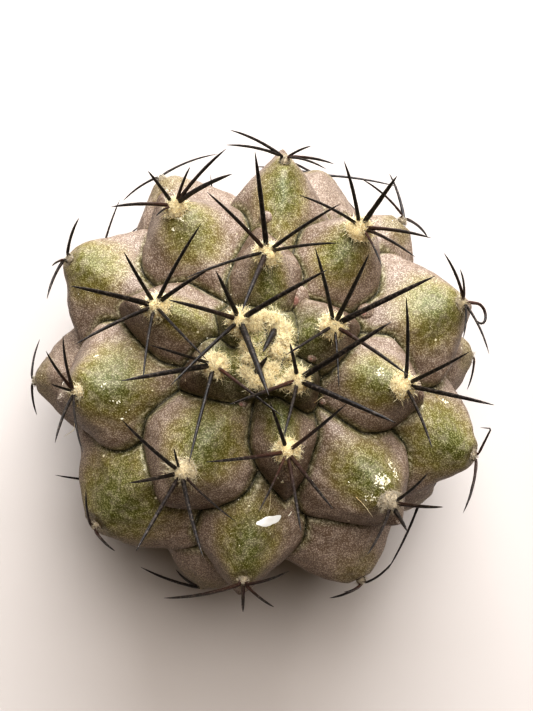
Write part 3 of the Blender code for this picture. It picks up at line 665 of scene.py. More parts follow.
def waxy_skin(look):
    """Skin of a living plant under its own thin wax, as it grew, with painted shade and painted highlights
    laid in.
    """
    # The wax leaves it matt: green shoulders fade to mauve flanks, under fine pale grains and white flecks.
    # Painted shade darkens the grooves, the flanks under the chins and the steep faces, and a painted
    # highlight runs along the groove lips
    made, tree, shader, out, across, rim, tint, crown, cork, rose = new_material(
        "waxy skin", "out", "across", "rim", "tint", "crown", "cork", "rose")
    place = put(tree, "TexCoord", (), 3)
    squeezed = put(tree, "Mapping", {0: place, 3: (1.0, 1.0, RING_SQUEEZE)})
    patch, mottle, lip_highlight_breaks, fine, rings = (
        put(tree, "TexNoise", {"Vector": where, "Scale": 1 / size, "Detail": detail, "Roughness": rough})
        for where, size, detail, rough in (
            (place, *PATCH_PATTERN), (place, *MOTTLE_PATTERN), (place, *LIP_HIGHLIGHT_PATTERN), (place, *FINE_PATTERN),
            (squeezed, *RING_PATTERN)))
    cells = {"Vector": place, "Scale": 1 / (look.grain * MM)}
    spots = {"Vector": place, "Scale": 1 / FLECK_SPACING}
    tone, chosen = (
        put(tree, "SeparateColor", (put(tree, "TexVoronoi", where, 1),), part)
        for where, part in ((cells, 0), (spots, 1)))
    # How far each face turns up: steep faces get brown painted shade by it
    rise = put(tree, "SeparateXYZ", (put(tree, "NewGeometry", (), 1),), 2)
    # A greener tubercle has its green nearer to the crown, and more of it
    shift, reach = (put(tree, "Math", (tint, *rule), **TIMES_ADD) for rule in (GREEN_SHIFT, GREEN_REACH))
    offset = put(tree, "CombineXYZ", (put(tree, "Math", (out, shift), **ADD), across))
    away = put(tree, "VectorMath", (offset,), 1, operation="LENGTH")
    away = put(tree, "Math", (away, reach), operation="DIVIDE")
    # Patches and mottles make the edges of the colours ragged
    away, below, steep, old = (
        put(tree, "Math", (source, put(tree, "Math", (pattern, amount, -amount / 2), **TIMES_ADD)), **ADD)
        for source, pattern, amount in (
            (away, patch, 0.28), (out, mottle, 0.2), (rise, patch, 0.3), (cork, patch, 0.6)))
    # How much of each look a place has: what it goes by, from, to, and the shares there
    share = {name: put(tree, "MapRange", inputs, **SOFT) for name, inputs in {
        "olive": (away, 0.30, 0.75, 1.0, 0.0),      # from the shoulder's middle, as a share of the tubercle
        "green": (away, 0.06, 0.55, 0.92, 0.0),
        "olive tubercle": (tint, 0.1, 0.35, 0.5, 1.0),
        "green tubercle": (tint, 0.15, 0.65, 0.15, 1.0),
        # Brown on the flanks that face away from the crown is partly the skin's own colour and partly painted
        # shade under the chins; brown on steep faces is painted shade
        "below": (below, 0.10, 0.55, 0.0, 0.85),
        "steep": (steep, 0.15, 0.75, 0.42, 0.0),
        "young": (crown, 5.0, 10.0, 0.75, 0.0),     # millimetres from the crown
        "tissue": (crown, 2.5, 5.0, 0.8, 0.0),
        # Olive beside each groove and a dark line in it: the skin's own colours, deepened as painted crease
        # shade
        "moss": (rim, 0.25, 1.5, 0.75, 0.0),        # millimetres of depth above the groove
        "groove": (rim, 0.0, 0.45, 0.9, 0.0),
        # A pale line in the wax colour along each groove's lip is a painted highlight
        "lip highlight": (rim, 0.30, 0.55),
        "end of lip": (rim, 0.55, 0.95, 1.0, 0.0),
        "broken lip": (lip_highlight_breaks, 0.48, 0.66, 0.0, 0.45),
        "grain": (put(tree, "TexVoronoi", cells), 0.26, 0.62, 1.0, 0.0),
        "bright grain": (tone, 0.0, 0.8, 0.35, 1.0),
        "mottled grain": (mottle, 0.30, 0.65, 0.65, 1.0),
        "bloom": (mottle, 0.40, 0.70, 0.0, 0.20),
        "fleck": (put(tree, "TexVoronoi", spots), 0.045, 0.075, 0.8, 0.0),
        "chosen fleck": (chosen, 0.55, 0.60),
        "ring": (rings, 0.30, 0.75),
        "old": (old, 0.25, 0.75),
        "rough": (mottle, 0.3, 0.7, 0.46, 0.60),
    }.items()}
    for name, *others in (
        ("olive", "olive tubercle"), ("green", "green tubercle"), ("lip highlight", "end of lip", "broken lip"),
        ("grain", "bright grain", "mottled grain"), ("fleck", "chosen fleck"),
    ):
        for other in others:
            share[name] = put(tree, "Math", (share[name], share[other]), **TIMES)
    brown_and_painted_shade = put(tree, "Math", (share["below"], share["steep"]), **LARGER)
    pit = put(tree, "Math", (share["grain"], -PIT_SHARE, PIT_SHARE), **TIMES_ADD)
    pale = put(tree, "Math", (share["grain"], PALE_SHARE), **TIMES)
    bark = put(tree, "Mix", {0: share["ring"], 6: look.cork, 7: look.bark}, 2, data_type="RGBA")
    base = look.mauve
    # Layers in order: the flank brown, moss and groove carry painted shade, and the wax on the lips is a
    # painted highlight
    for cover, over in (
        (share["olive"], look.olive), (share["green"], look.green), (brown_and_painted_shade, look.brown),
        (share["young"], look.young), (share["tissue"], look.tissue), (share["moss"], look.moss),
        (share["groove"], look.groove), (pit, look.pit), (pale, look.wax), (share["bloom"], look.bloom),
        (share["lip highlight"], look.wax), (share["fleck"], look.wax), (rose, look.rose), (share["old"], bark),
    ):
        kind = "MULTIPLY" if cover == pit else "MIX"
        base = put(tree, "Mix", {0: cover, 6: base, 7: over}, 2, data_type="RGBA", blend_type=kind)
    dull = put(tree, "Math", (share["old"], 0.85), **TIMES)
    rough = put(tree, "Math", (share["rough"], dull), **LARGER)
    cracks = put(tree, "Math", (rings, share["old"]), **TIMES)
    height = 0.0
    for pattern, strength in ((tone, 0.30), (fine, 0.6), (mottle, 1.1), (cracks, 9.0)):
        height = put(tree, "Math", (pattern, strength, height), **TIMES_ADD)
    bump = put(tree, "Bump", {"Strength": 1.0, "Distance": GRAIN_RELIEF, "Height": height})
    fill(shader, {"Base Color": base, "Roughness": rough, "Normal": bump, "Specular IOR Level": 0.42})
    return made


def dry_cut(look):
    """Callus that dried over the cut across the neck."""
    # It is dull and pale, with the plant's vessels as a darker, wavy ring
    made, tree, shader = new_material("dry callus")
    place = put(tree, "TexCoord", (), 3)
    noise = put(tree, "TexNoise", {"Vector": place, "Scale": 1 / VESSEL_WAVES, "Detail": 4.0})
    away = put(tree, "VectorMath", (place,), 1, operation="LENGTH")
    wavy = put(tree, "Math", (noise, VESSEL_WAVES, away), **TIMES_ADD)
    inner, outer = (put(tree, "MapRange", (wavy, *edge), **SOFT) for edge in VESSELS)
    band = put(tree, "Math", (inner, outer), operation="SUBTRACT")
    base = look.cork
    for cover, over in ((noise, look.callus), (band, look.bark)):
        base = put(tree, "Mix", {0: cover, 6: base, 7: over}, 2, data_type="RGBA")
    bump = put(tree, "Bump", {"Strength": 0.7, "Distance": CALLUS_RELIEF, "Height": noise})
    fill(shader, {"Base Color": base, "Roughness": 0.85, "Normal": bump})
    return made


def spine_horn(look):
    """Horn of a grown spine."""
    # It is near black with a dull grey film in streaks, and some spines are red brown at the root
    made, tree, shader, along, tone = new_material("spine horn", "along", "tone")
    place = put(tree, "TexCoord", (), 3)
    noise = put(tree, "TexNoise", {"Vector": place, "Scale": 1 / SCURF_SIZE, "Detail": 4.0})
    scurf, red, root = (
        put(tree, "MapRange", inputs)
        for inputs in ((noise, 0.50, 0.70, 0.0, 0.8), (tone, 0.40, 0.85), (along, 0.15, 0.60, 1.0, 0.0)))
    base = look.black
    for cover, over in ((put(tree, "Math", (red, root), **TIMES), look.red), (scurf, look.grey)):
        base = put(tree, "Mix", {0: cover, 6: base, 7: over}, 2, data_type="RGBA")
    bump = put(tree, "Bump", {"Strength": 0.5, "Distance": SCURF_RELIEF, "Height": noise})
    fill(shader, {
        "Base Color": base, "Roughness": look.roughness, "Normal": bump, "Specular IOR Level": 0.45})
    return made


def plant_wool(look):
    """Wool that grows from a plant: short dry hairs."""
    # Young hairs are white and older ones straw coloured, with painted shade deep inside, at the hairs' roots
    # and in the felt, and dusty where worn
    made, tree, shader, tone, along, age = new_material("plant wool", "tone", "along", "age")
    # Painted shade: darker towards the roots of the hairs and in the felt
    deep = put(tree, "MapRange", (along, 0.0, 0.6, 0.85, 0.0))
    worn = put(tree, "MapRange", (age, 0.0, 1.0, 0.0, 0.85))
    base = look.cream
    for cover, over in ((tone, look.straw), (deep, look.shade), (worn, look.worn)):
        base = put(tree, "Mix", {0: cover, 6: base, 7: over}, 2, data_type="RGBA")
    fill(shader, {"Base Color": base, "Roughness": 0.9, "Sheen Weight": 0.3})
    return made


def dry_crust(name, fresh, aged):
    """Sap, wax or cork that dried on the skin in thin scales; the dried wax's colours also serve painted
    glints.
    """
    # It is matt, and each scale has its own shade between fresh and aged
    made, tree, shader, tone = new_material(name, "tone")
    base = put(tree, "Mix", {0: tone, 6: fresh, 7: aged}, 2, data_type="RGBA")
    fill(shader, {"Base Color": base, "Roughness": 0.7})
    return made


# Spines and wool

def spines_of(name, heart, bow_way):
    """The root, tip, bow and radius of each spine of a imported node, read from the rings of its mesh."""
    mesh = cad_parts[name].data
    points = np.array([vertex.co for vertex in mesh.vertices])
    keys, merged = np.unique(np.round(points / WELD).astype(int), axis=0, return_inverse=True)
    merged = merged.ravel()
    places = keys * WELD
    near = {}
    for edge in mesh.edges:
        first, second = merged[edge.vertices[0]], merged[edge.vertices[1]]
        near.setdefault(first, set()).add(second)
        near.setdefault(second, set()).add(first)
    spines = []
    for face in mesh.polygons:
        ends = {merged[corner] for corner in face.vertices}
        ring = places[list(ends)]
        tip = ring.mean(0)
        if len(ends) != 3 or np.ptp(ring, axis=0).max() > TIP_SPAN or np.linalg.norm(tip - heart) < TIP_FAR:
            continue
        middle = set.union(*(near[end] for end in ends)) - ends
        if len(middle) != 3:
            continue
        ring = places[list(middle)]
        centre = ring.mean(0)
        radius = np.linalg.norm(ring - centre, axis=1).mean() / MID_SHARE
        bow = bow_way * SPINE_BOW * 2 * np.linalg.norm(tip - centre)
        spines.append((2 * (centre - bow) - tip, tip, bow, radius))
    if not spines:
        raise RuntimeError(f"no spines were found on {name}")
    return sorted(spines, key=lambda spine: tuple(spine[1]))


def line_of(root, tip, bow):
    """A spine's middle line."""
    along = SPINE_ALONG[:, None]
    return root + along * (tip - root) + 4 * along * (1 - along) * bow


def hooked(spines, hook):
    """The number of the spine that the hook is for, and its bent line."""
    pixel, start, end, degrees, way = hook
    ray = pixel_ray(*pixel)
    which = max(range(len(spines)), key=lambda number: unit(spines[number][1] - VIEWER) @ ray)
    line = line_of(*spines[which][:3])
    pace = np.linalg.norm(np.diff(line, axis=0), axis=1, keepdims=True)
    ahead = unit(line[-1] - line[0])
    aside = way[0] * VIEW[0] + way[1] * VIEW[1]
    aside = unit(aside - (aside @ ahead) * ahead)
    share = (SPINE_ALONG[1:] + SPINE_ALONG[:-1]) / 2
    bend = math.radians(degrees) * step(share, start, end)[:, None]
    pace = pace * (np.cos(bend) * ahead + np.sin(bend) * aside)
    return which, np.concatenate([line[:1], line[0] + np.cumsum(pace, axis=0)])


def spine_tubes(spines, seat, axis, sides, draw, hook=None):
    """Fine round spines: a foot sunk in the skin, a slightly swollen root, a shaft and a sharp tip."""
    bent, bent_line = hooked(spines, hook) if hook else (None, None)
    height, place, spread = SPINE_SWELLING
    swell = 1 + height * np.exp(-((SPINE_ALONG - place) / spread) ** 2)
    drop, power = POINT_TAPER
    taper = (1 - SHAFT_TAPER * SPINE_ALONG) * (1 - drop * SPINE_ALONG ** power)
    lines, radii, tones = [], [], []
    for number, (root, tip, bow, radius) in enumerate(spines):
        foot = root - axis * (max(0.0, (root - seat) @ axis) + FOOT_SUNK)
        line = bent_line if number == bent else line_of(root, tip, bow)
        lines.append(np.concatenate([foot[None], line]))
        width = SPINE_SLIM * radius * swell * taper * draw.uniform(*UNEVEN, SPINE_RINGS)
        radii.append(np.concatenate([width[:1], width]))
        tones.append(draw.random() * min(1.0, (THIN_SPINE / radius) ** 2))
    tones = np.repeat(np.array(tones)[:, None], SPINE_RINGS + 1, 1)
    values = {"along": np.tile(np.concatenate([[0], SPINE_ALONG]), (len(spines), 1)), "tone": tones}
    return tubes(np.array(lines), np.array(radii), sides, values)


def hairs(roots, ways, lengths, thickness, draw, curl=HAIR_CURL):
    """Bent, tapering hairs from their roots, ways and lengths."""
    along = np.linspace(0, 1, HAIR_RINGS)
    count = len(roots)
    bend = draw.normal(0, curl, (count, 3))
    twist = draw.normal(0, curl * HAIR_TWIST, (count, 3))
    line = (roots[:, None] + lengths[:, None, None] * (
        ways[:, None] * along[:, None] + bend[:, None] * along[:, None] ** 2
        + twist[:, None] * np.sin(along * math.tau)[:, None]))
    radii = thickness / 2 * (1 - HAIR_TAPER * along)[None] * draw.uniform(*HAIR_WIDTHS, (count, 1))
    values = {"along": np.tile(along, (count, 1)), "tone": np.repeat(draw.random((count, 1)), HAIR_RINGS, 1)}
    return tubes(line, radii, HAIR_SIDES, values)


def ball(cuts):
    """Unit points and faces of a ball of triangles."""
    shape = bmesh.new()
    bmesh.ops.create_icosphere(shape, subdivisions=cuts, radius=1.0)
    ways = unit(np.array([vertex.co for vertex in shape.verts]))
    corners = [np.array([[vertex.index for vertex in face.verts] for face in shape.faces])]
    shape.free()
    return ways, corners


def felt(heart, upright, sizes, draw, tone=0.5, rough=0.30, along=0.12):
    """A lumpy felt cushion, closed below, in which the hairs stand."""
    ways, corners = ball(FELT_FINENESS)
    coarse, fine = (
        np.sin(ways @ draw.normal(0, pace, (3, count)) + draw.uniform(0, math.tau, count)).mean(1)
        for pace, count in FELT_WAVES)
    places = ways * (1 + rough * (coarse + FINE_LUMPS * fine))[:, None]
    places[:, 2] = np.where(places[:, 2] < 0, places[:, 2] * FELT_FLOOR, places[:, 2])
    points = heart + (places * sizes) @ upright.T
    # The felt's along value sets how much painted shade deep in the wool it gets
    return points, corners, {"along": np.full(len(points), along), "tone": tone + FELT_TONES * coarse}


def upright_of(axis, turn=0.0):
    """Columns of a frame whose third is the axis."""
    return np.array(Vector(axis).to_track_quat("Z", "Y").to_matrix() @ Matrix.Rotation(turn, 3, "Z"))


def tuft(heart, upright, sizes, count, length, thickness, draw, tangle=TANGLE):
    """Hairs that stand all over a cushion in every direction."""
    height = draw.random(count) ** HAIR_CROWDING
    clock = draw.uniform(0, math.tau, count)
    flat = np.sqrt(1 - height ** 2)
    ways = np.stack([flat * np.cos(clock), flat * np.sin(clock), height], axis=1)
    roots = heart + (ways * sizes * draw.uniform(*HAIR_ROOTS, (count, 1))) @ upright.T
    lean = unit(unit(ways / sizes) + draw.normal(0, tangle, (count, 3)))
    lean[:, 2] = np.abs(lean[:, 2])
    lengths = length * draw.uniform(*HAIR_LENGTHS, count)
    return hairs(roots, unit(lean) @ upright.T, lengths, thickness, draw)


def areole_wool(which, look, draw):
    """An areole's wool: a knob amid the roots of the spines, in a low ragged fringe."""
    share = CUSHION[which] * (1 - WORN_OFF * AGE[which])
    heart = SEAT[which] + AXIS[which] * WOOL_LIFT
    upright = upright_of(AXIS[which], draw.uniform(0, math.tau))
    cushion = share * np.array([CUSHION_RADIUS, CUSHION_RADIUS, CUSHION_HEIGHT])
    count = int(look.count * share ** WOOL_GROWTH)
    length = look.length * (YOUNG_HAIR + (1 - YOUNG_HAIR) * share)
    felts = [
        felt(heart, upright, cushion * size, draw, rough=rough, along=along)
        for size, rough, along in WOOL_FELTS]
    tufts = [
        tuft(heart, upright, cushion * size, int(count * number), length * long, look.thickness * thick, draw)
        for size, number, long, thick in WOOL_TUFTS]
    return felts + tufts


def crown_wool(look, draw):
    """The crown's wool: ragged tufts over the young tissue, and thin stray hairs between them."""
    parts = []
    for pixel, width in CROWN_TUFTS:
        heart = at_height(*pixel, CROWN_LEVEL + WOOL_LIFT)
        across = TUFT_HALF * draw.uniform(*TUFT_WIDTHS)
        sizes = width * MM * np.array([TUFT_HALF, across, TUFT_HEIGHT * draw.uniform(*TUFT_HEIGHTS)])
        upright = upright_of(UP, draw.uniform(0, math.tau))
        parts.append(felt(heart, upright, sizes, draw, tone=draw.uniform(*TUFT_TONES), rough=TUFT_LUMPS))
        hair = (int(look.count * TUFT_HAIRS * width), look.length * TUFT_LENGTH, look.thickness)
        parts.append(tuft(heart, upright, sizes * TUFT_SPREAD, *hair, draw, tangle=TUFT_TANGLE))
    upright = upright_of(UP, math.radians(CROWN_TURN))
    spread, number, long, thick = CROWN_HAIRS
    hair = (int(look.count * number), look.length * long, look.thickness * thick)
    sizes = np.array([CROWN_LONG, CROWN_WIDE, CROWN_HEIGHT]) * spread
    parts.append(tuft(CROWN, upright, sizes, *hair, draw, tangle=CROWN_TANGLE))
    return parts


class Ground:
    """The body's finished skin, to lay marks on."""

    def __init__(self):
        mesh = bpy.data.objects["plant_body"].data
        self.places = np.array([vertex.co for vertex in mesh.vertices])
        faces = [list(face.vertices) for face in mesh.polygons]
        self.tree = BVHTree.FromPolygons(self.places.tolist(), faces)

    def nearest(self, spot):
        """The skin nearest to a spot: its place and its normal."""
        place, normal = self.tree.find_nearest(Vector(spot))[:2]
        return np.array(place), np.array(normal)

    def at_pixel(self, pixel):
        """The place and normal of the skin that shows at a pixel of the photograph."""
        place, normal = self.tree.ray_cast(Vector(VIEWER), Vector(pixel_ray(*pixel)))[:2]
        if place is None:
            raise RuntimeError(f"no skin shows at pixel {pixel}")
        return np.array(place), np.array(normal)

    def patch(self, place, normal, length, width, turn, draw):
        """A thin scale on the skin: a fan of rings with a ragged rim that dips in."""
        along, across = turned(normal, turn)
        sides = PATCH_SIDES if length > MM else GRAIN_SIDES
        far = draw.uniform(*FLAKE_RAGGED, sides)
        if sides == PATCH_SIDES:
            far = sum(share * np.roll(far, places) for places, share in enumerate(RIM_SOFTENING))
        clock = np.arange(sides) * math.tau / sides
        right = np.concatenate([[0], np.outer(PATCH_RINGS, far * np.cos(clock)).ravel()]) * length / 2
        up = np.concatenate([[0], np.outer(PATCH_RINGS, far * np.sin(clock)).ravel()]) * width / 2
        lift = FLAKE_LIFT * np.repeat([1, 1, 1, RIM_SUNK], [1, sides, sides, sides])
        found = [self.nearest(place + x * along + y * across) for x, y in zip(right, up)]
        points = np.array([spot + lean * rise for (spot, lean), rise in zip(found, lift)])
        first = np.arange(sides) + 1
        after = np.roll(first, -1)
        fan = np.stack([np.zeros_like(first), first, after], axis=1)
        bands = [np.stack([first, first + sides, after + sides, after], axis=1) + low for low in (0, sides)]
        tone = draw.uniform(*GRAIN_TONES) if length < MM else 0.0
        return points, [fan, np.concatenate(bands)], {"tone": np.full(len(points), tone)}

    def grain(self, spot, length, draw):
        """One small scale on the skin nearest to a spot."""
        return self.patch(*self.nearest(spot), length, length * GRAIN_WIDTH, draw.uniform(0, math.tau), draw)

    def marks(self, listed, draw):
        """The listed marks: one scale each, or as many grains as it is broken into."""
        parts = []
        for pixel, length, width, turn, grains in listed:
            place, normal = self.at_pixel(pixel)
            if grains == 1:
                parts.append(self.patch(place, normal, length * MM, width * MM, math.radians(turn), draw))
                continue
            along, across = turned(normal, math.radians(turn))
            for grain in range(grains):
                clock = draw.uniform(0, math.tau)
                far = draw.random() ** GRAIN_CROWDING / 2 * MM
                spot = place + far * (length * math.cos(clock) * along + width * math.sin(clock) * across)
                parts.append(self.grain(spot, draw.uniform(*GRAIN_SIZE), draw))
        return parts

    def flecks(self, draw):
        """Small flecks scattered over the skin."""
        places = self.places[draw.choice(len(self.places), FLECKS, replace=False)]
        places = places[places[:, 2] > FLECK_LOWEST]
        return [self.grain(place, draw.uniform(*FLECK_SIZE), draw) for place in places]


def turned(normal, turn):
    """Two directions in the skin: the photograph's level turned by an angle, and the one across it."""
    level = unit(VIEW[0] - (VIEW[0] @ normal) * normal)
    other = np.cross(normal, level)
    return level * math.cos(turn) + other * math.sin(turn), other * math.cos(turn) - level * math.sin(turn)


def nose(place, normal, radius, draw):
    """A small rounded nose that swells out of the skin, rosy on top."""
    ways, corners = ball(NOSE_FINENESS)
    upright = upright_of(unit(normal + VIEW[2]), draw.uniform(*NOSE_TURNS))
    points = place + (ways * radius * NOSE_SHAPE) @ upright.T
    values = {key: np.full(len(points), value) for key, value in NOSE_LOOK.items()}
    values["rose"] = step(unit(points - place) @ unit(ROSE_WAY @ VIEW), *NOSE_ROSE) * ROSE_SHARE
    return points, corners, values


# The user's settings

def swatch(name, description, code):
    """A colour to choose."""
    return FloatVectorProperty(name=name, description=description, subtype="COLOR", size=4, min=0, max=1,
                               default=colour(code))


class CactusSkin(bpy.types.PropertyGroup):
    """Colours and grain of the body."""

    green: swatch("Green", "Middle of each shoulder", "#656a26")
    olive: swatch("Olive", "Shoulders round that", "#938644")
    mauve: swatch("Mauve", "Flanks", "#a08c81")
    # Brown is the skin's own on outward flanks, and there and on steep faces it is also painted shade
    brown: swatch("Brown", "Flanks that face away from the crown", "#5c3a1b")
    # Moss and Groove are the skin's own colours, deepened as painted crease shade
    moss: swatch("Moss", "Beside the grooves", "#7c7946")
    groove: swatch("Groove", "Bottom of the grooves", "#2a300f")
    young: swatch("Young", "Skin in the crown", "#626a30")
    tissue: swatch("Tissue", "Youngest skin, under the crown's wool", "#b3ae58")
    # Wax also colours the painted highlight along the groove lips
    wax: swatch("Wax", "Pale grains and flecks", "#eadfc0")
    bloom: swatch("Bloom", "Thin wax over the skin", "#b3a398")
    pit: swatch("Pit", "Dark of the finest grain, multiplied in", "#94855f")
    rose: swatch("Rose", "Tops of the young noses", "#a9786f")
    # Flake and Dull flake also colour the painted glints
    flake: swatch("Flake", "Dried sap and wax on the skin", "#fbf8f0")
    dull: swatch("Dull flake", "Older sap and wax", "#d9cda4")
    scab: swatch("Scab", "Old corky scabs", "#d6cfb6")
    cork: swatch("Cork", "Neck", "#a58c68")
    bark: swatch("Bark", "Dark of the neck", "#5e4a33")
    callus: swatch("Callus", "Dried cut", "#cdb98f")
    grain: FloatProperty(name="Grain", description="Width of a grain of the skin in millimetres", min=0.05,
                         max=1, default=0.17)


class CactusSpines(bpy.types.PropertyGroup):
    """Colours and fineness of the spines."""

    black: swatch("Black", "Shaft", "#1a130e")
    red: swatch("Red brown", "Root of some spines", "#472a1f")
    grey: swatch("Grey", "Dull grey film", "#5b5046")
    roughness: FloatProperty(name="Roughness", description="Roughness of the shaft", min=0, max=1,
                             default=0.48)
    sides: IntProperty(name="Sides", description="Faces round a spine", min=5, max=24, default=9)


class CactusWool(bpy.types.PropertyGroup):
    """Colours and sizes of the wool."""

    cream: swatch("Cream", "Young hairs", "#fff5d2")
    straw: swatch("Straw", "Older hairs", "#f1dca8")
    # Shade is painted shade deep in the wool
    shade: swatch("Shade", "Deep in the wool", "#a5864a")
    worn: swatch("Worn", "Old, dusty wool", "#a29480")
    thickness: FloatProperty(name="Hair thickness", description="Thickness of a hair at its root",
                             unit="LENGTH", min=1e-5, max=1e-3, default=0.070 * MM, precision=6)
    length: FloatProperty(name="Hair length", description="Length of a hair of a full grown areole",
                          unit="LENGTH", min=1e-4, max=1e-2, default=0.60 * MM, precision=5)
    count: IntProperty(name="Hairs", description="Hairs of a full grown areole", min=20, max=4000,
                       default=1750)


class CactusStage(bpy.types.PropertyGroup):
    """Floor and light."""

    floor: swatch("Floor", "Floor", "#bdb4ac")
    sky: FloatProperty(name="Sky", description="Strength of the even light from all round", min=0, max=10,
                       default=0.24)
    key: FloatProperty(name="Key", description="Power of the soft lamp behind the plant", unit="POWER",
                       min=0, max=100, default=3.22)


class CACTUS_OT_stage(bpy.types.Operator):
    """Lays the floor and sets the lamps and the camera."""

    bl_idname = "cactus.stage"
    bl_label = "Stage"

    def execute(self, context):
        look = context.scene.cactus_stage
        shape = bmesh.new()
        bmesh.ops.create_grid(shape, x_segments=1, y_segments=1, size=FLOOR_REACH)
        mesh = bpy.data.meshes.new("floor")
        shape.to_mesh(mesh)
        shape.free()
        # A plain board painted matt, which shows the plant's shadow and nothing of its own
        made, tree, shader = new_material("matt painted board")
        fill(shader, {"Base Color": look.floor, "Roughness": 0.9})
        mesh.materials.append(made)
        mesh.transform(Matrix.Translation((0, 0, -FLOOR_GAP)))
        placed("floor", mesh)
        world = bpy.data.worlds.new("even light")
        world.use_nodes = True
        tree = world.node_tree
        way = put(tree, "SeparateXYZ", (put(tree, "TexCoord"),), 1)
        share = put(tree, "MapRange", (way, *SKY_FADE))
        shade = put(tree, "Mix", {0: share, 6: SKY_NEAR, 7: SKY_FAR}, 2, data_type="RGBA")
        fill(tree.nodes["Background"], (shade, look.sky))
        context.scene.world = world
        for name, (place, size, power, tint) in LAMPS.items():
            light = bpy.data.lights.new(name, "AREA")
            light.energy = look.key * power
            light.size = size
            light.color = tint
            lamp = placed(name, light)
            lamp.location = place
            lamp.rotation_euler = (Vector(MIDDLE) - Vector(place)).to_track_quat("-Z", "Y").to_euler()
        lens = bpy.data.cameras.new("camera")
        lens.lens = lens.sensor_width * PIXELS_PER_METRE * VIEW_DISTANCE / PHOTO_SIZE[1]
        lens.shift_x = (PHOTO_SIZE[0] / 2 - MIDDLE_PIXEL[0]) / PHOTO_SIZE[1]
        lens.shift_y = (MIDDLE_PIXEL[1] - PHOTO_SIZE[1] / 2) / PHOTO_SIZE[1]
        lens.clip_start = NEAR_CLIP
        camera = placed("camera", lens)
        camera.matrix_world = Matrix.Translation(VIEWER) @ Matrix(VIEW.T.tolist()).to_4x4()
        context.scene.camera = camera
        context.scene.view_settings.view_transform = "Standard"
        context.scene.view_settings.look = "High Contrast"
        return {"FINISHED"}


class CACTUS_OT_body(bpy.types.Operator):
    """Builds the body with its neck."""

    bl_idname = "cactus.body"
    bl_label = "Body"

    def execute(self, context):
        look = context.scene.cactus_skin
        piece = add_piece(body_mesh(), waxy_skin(look), ["body"])
        piece.data.materials.append(dry_cut(look))
        return {"FINISHED"}


class CACTUS_OT_marks(bpy.types.Operator):
    """Lays flake marks, painted glints, scabs and rosy noses on the body."""

    bl_idname = "cactus.marks"
    bl_label = "Marks"

    def execute(self, context):
        look = context.scene.cactus_skin
        ground = Ground()
        draw = np.random.default_rng(SEED + 2)
        flakes_and_glints = ground.marks(FLAKES_AND_GLINTS, draw) + ground.flecks(draw)
        scabs = ground.marks(SCABS, draw)
        noses = [nose(*ground.at_pixel(pixel), radius * MM, draw) for pixel, radius in NOSES]
        for name, parts, material in (
            ("flakes_and_glints", flakes_and_glints, dry_crust("dried wax and painted glints", look.flake, look.dull)),
            ("scabs", scabs, dry_crust("corky scab", look.scab, look.bloom)),
            ("noses", noses, bpy.data.materials["waxy skin"]),
        ):
            add_piece(mesh_of(name, *joined(parts)), material)
        return {"FINISHED"}


class CACTUS_OT_spines(bpy.types.Operator):
    """Builds the spines of every areole and of the crown."""

    bl_idname = "cactus.spines"
    bl_label = "Spines"

    def execute(self, context):
        look = context.scene.cactus_spines
        material = spine_horn(look)
        draw = np.random.default_rng(SEED)
        for name, which in AREOLE_NODES.items():
            spines = spines_of(name, SEAT[which], AXIS[which])
            made = spine_tubes(spines, SEAT[which], AXIS[which], look.sides, draw, HOOKS.get(KEYS[which]))
            add_piece(mesh_of(name + "_spines", *made), material, [name])
        made = spine_tubes(spines_of("crown_wool", CROWN, np.zeros(3)), CROWN, UP, look.sides, draw)
        add_piece(mesh_of("crown_spines", *made), material)
        return {"FINISHED"}


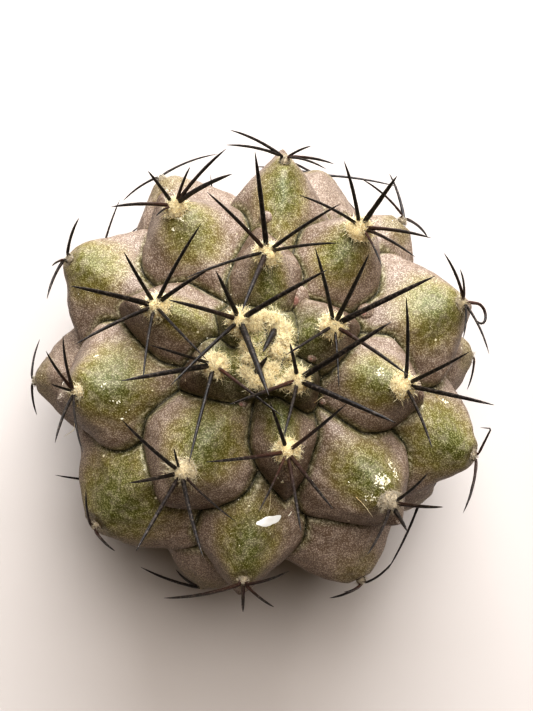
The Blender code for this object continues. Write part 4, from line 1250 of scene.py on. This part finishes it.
class CACTUS_OT_wool(bpy.types.Operator):
    """Builds the wool of every areole and of the crown."""

    bl_idname = "cactus.wool"
    bl_label = "Wool"

    def execute(self, context):
        look = context.scene.cactus_wool
        material = plant_wool(look)
        draw = np.random.default_rng(SEED + 1)
        for name, which in AREOLE_NODES.items():
            points, faces, values = joined(areole_wool(which, look, draw))
            values["age"] = np.full(len(points), WEAR.get(KEYS[which], AGE[which]))
            add_piece(mesh_of(name + "_wool", points, faces, values), material)
        ground = Ground()
        ends = np.array([[ground.at_pixel(pixel)[0] for pixel in pixels] for pixels in STRAYS])
        along = ends[:, 1] - ends[:, 0]
        lengths = np.linalg.norm(along, axis=1)
        roots = ends[:, 0] + STRAY_LIFT * VIEW[2]
        strays = hairs(roots, unit(along), lengths, look.thickness * STRAY_THICK, draw, curl=STRAY_CURL)
        add_piece(mesh_of("loose_hairs", *strays), material)
        mesh = mesh_of("crown_wool_hairs", *joined(crown_wool(look, draw)))
        add_piece(mesh, material, ["crown_wool"])
        return {"FINISHED"}


class CACTUS_PT_looks(bpy.types.Panel):
    """Lists the pieces and their looks."""

    bl_idname = "CACTUS_PT_looks"
    bl_label = "Cactus"
    bl_space_type = "VIEW_3D"
    bl_region_type = "UI"
    bl_category = "Cactus"

    def draw(self, context):
        for name, (group, operators) in GROUPS.items():
            box = self.layout.box()
            box.label(text=name)
            look = getattr(context.scene, "cactus_" + name.lower())
            for key in group.__annotations__:
                box.prop(look, key)
            for operator in operators:
                box.operator(operator.bl_idname)


# Each group of settings with the operators that use it, in the order in which they run
GROUPS = {
    "Stage": (CactusStage, (CACTUS_OT_stage,)),
    "Skin": (CactusSkin, (CACTUS_OT_body, CACTUS_OT_marks)),
    "Spines": (CactusSpines, (CACTUS_OT_spines,)),
    "Wool": (CactusWool, (CACTUS_OT_wool,)),
}
CLASSES = [made for group, operators in GROUPS.values() for made in (group, *operators)] + [CACTUS_PT_looks]


def register():
    """Adds the classes and their settings."""
    for made in CLASSES:
        bpy.utils.register_class(made)
    for name, entry in GROUPS.items():
        setattr(bpy.types.Scene, "cactus_" + name.lower(), PointerProperty(type=entry[0]))


def unregister():
    """Takes them away again."""
    for name in GROUPS:
        delattr(bpy.types.Scene, "cactus_" + name.lower())
    for made in reversed(CLASSES):
        bpy.utils.unregister_class(made)


def main():
    """Registers the add-on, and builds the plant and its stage."""
    register()
    bpy.ops.cactus.stage()
    bpy.ops.cactus.body()
    bpy.ops.cactus.marks()
    bpy.ops.cactus.spines()
    bpy.ops.cactus.wool()


if __name__ == "__main__":
    main()
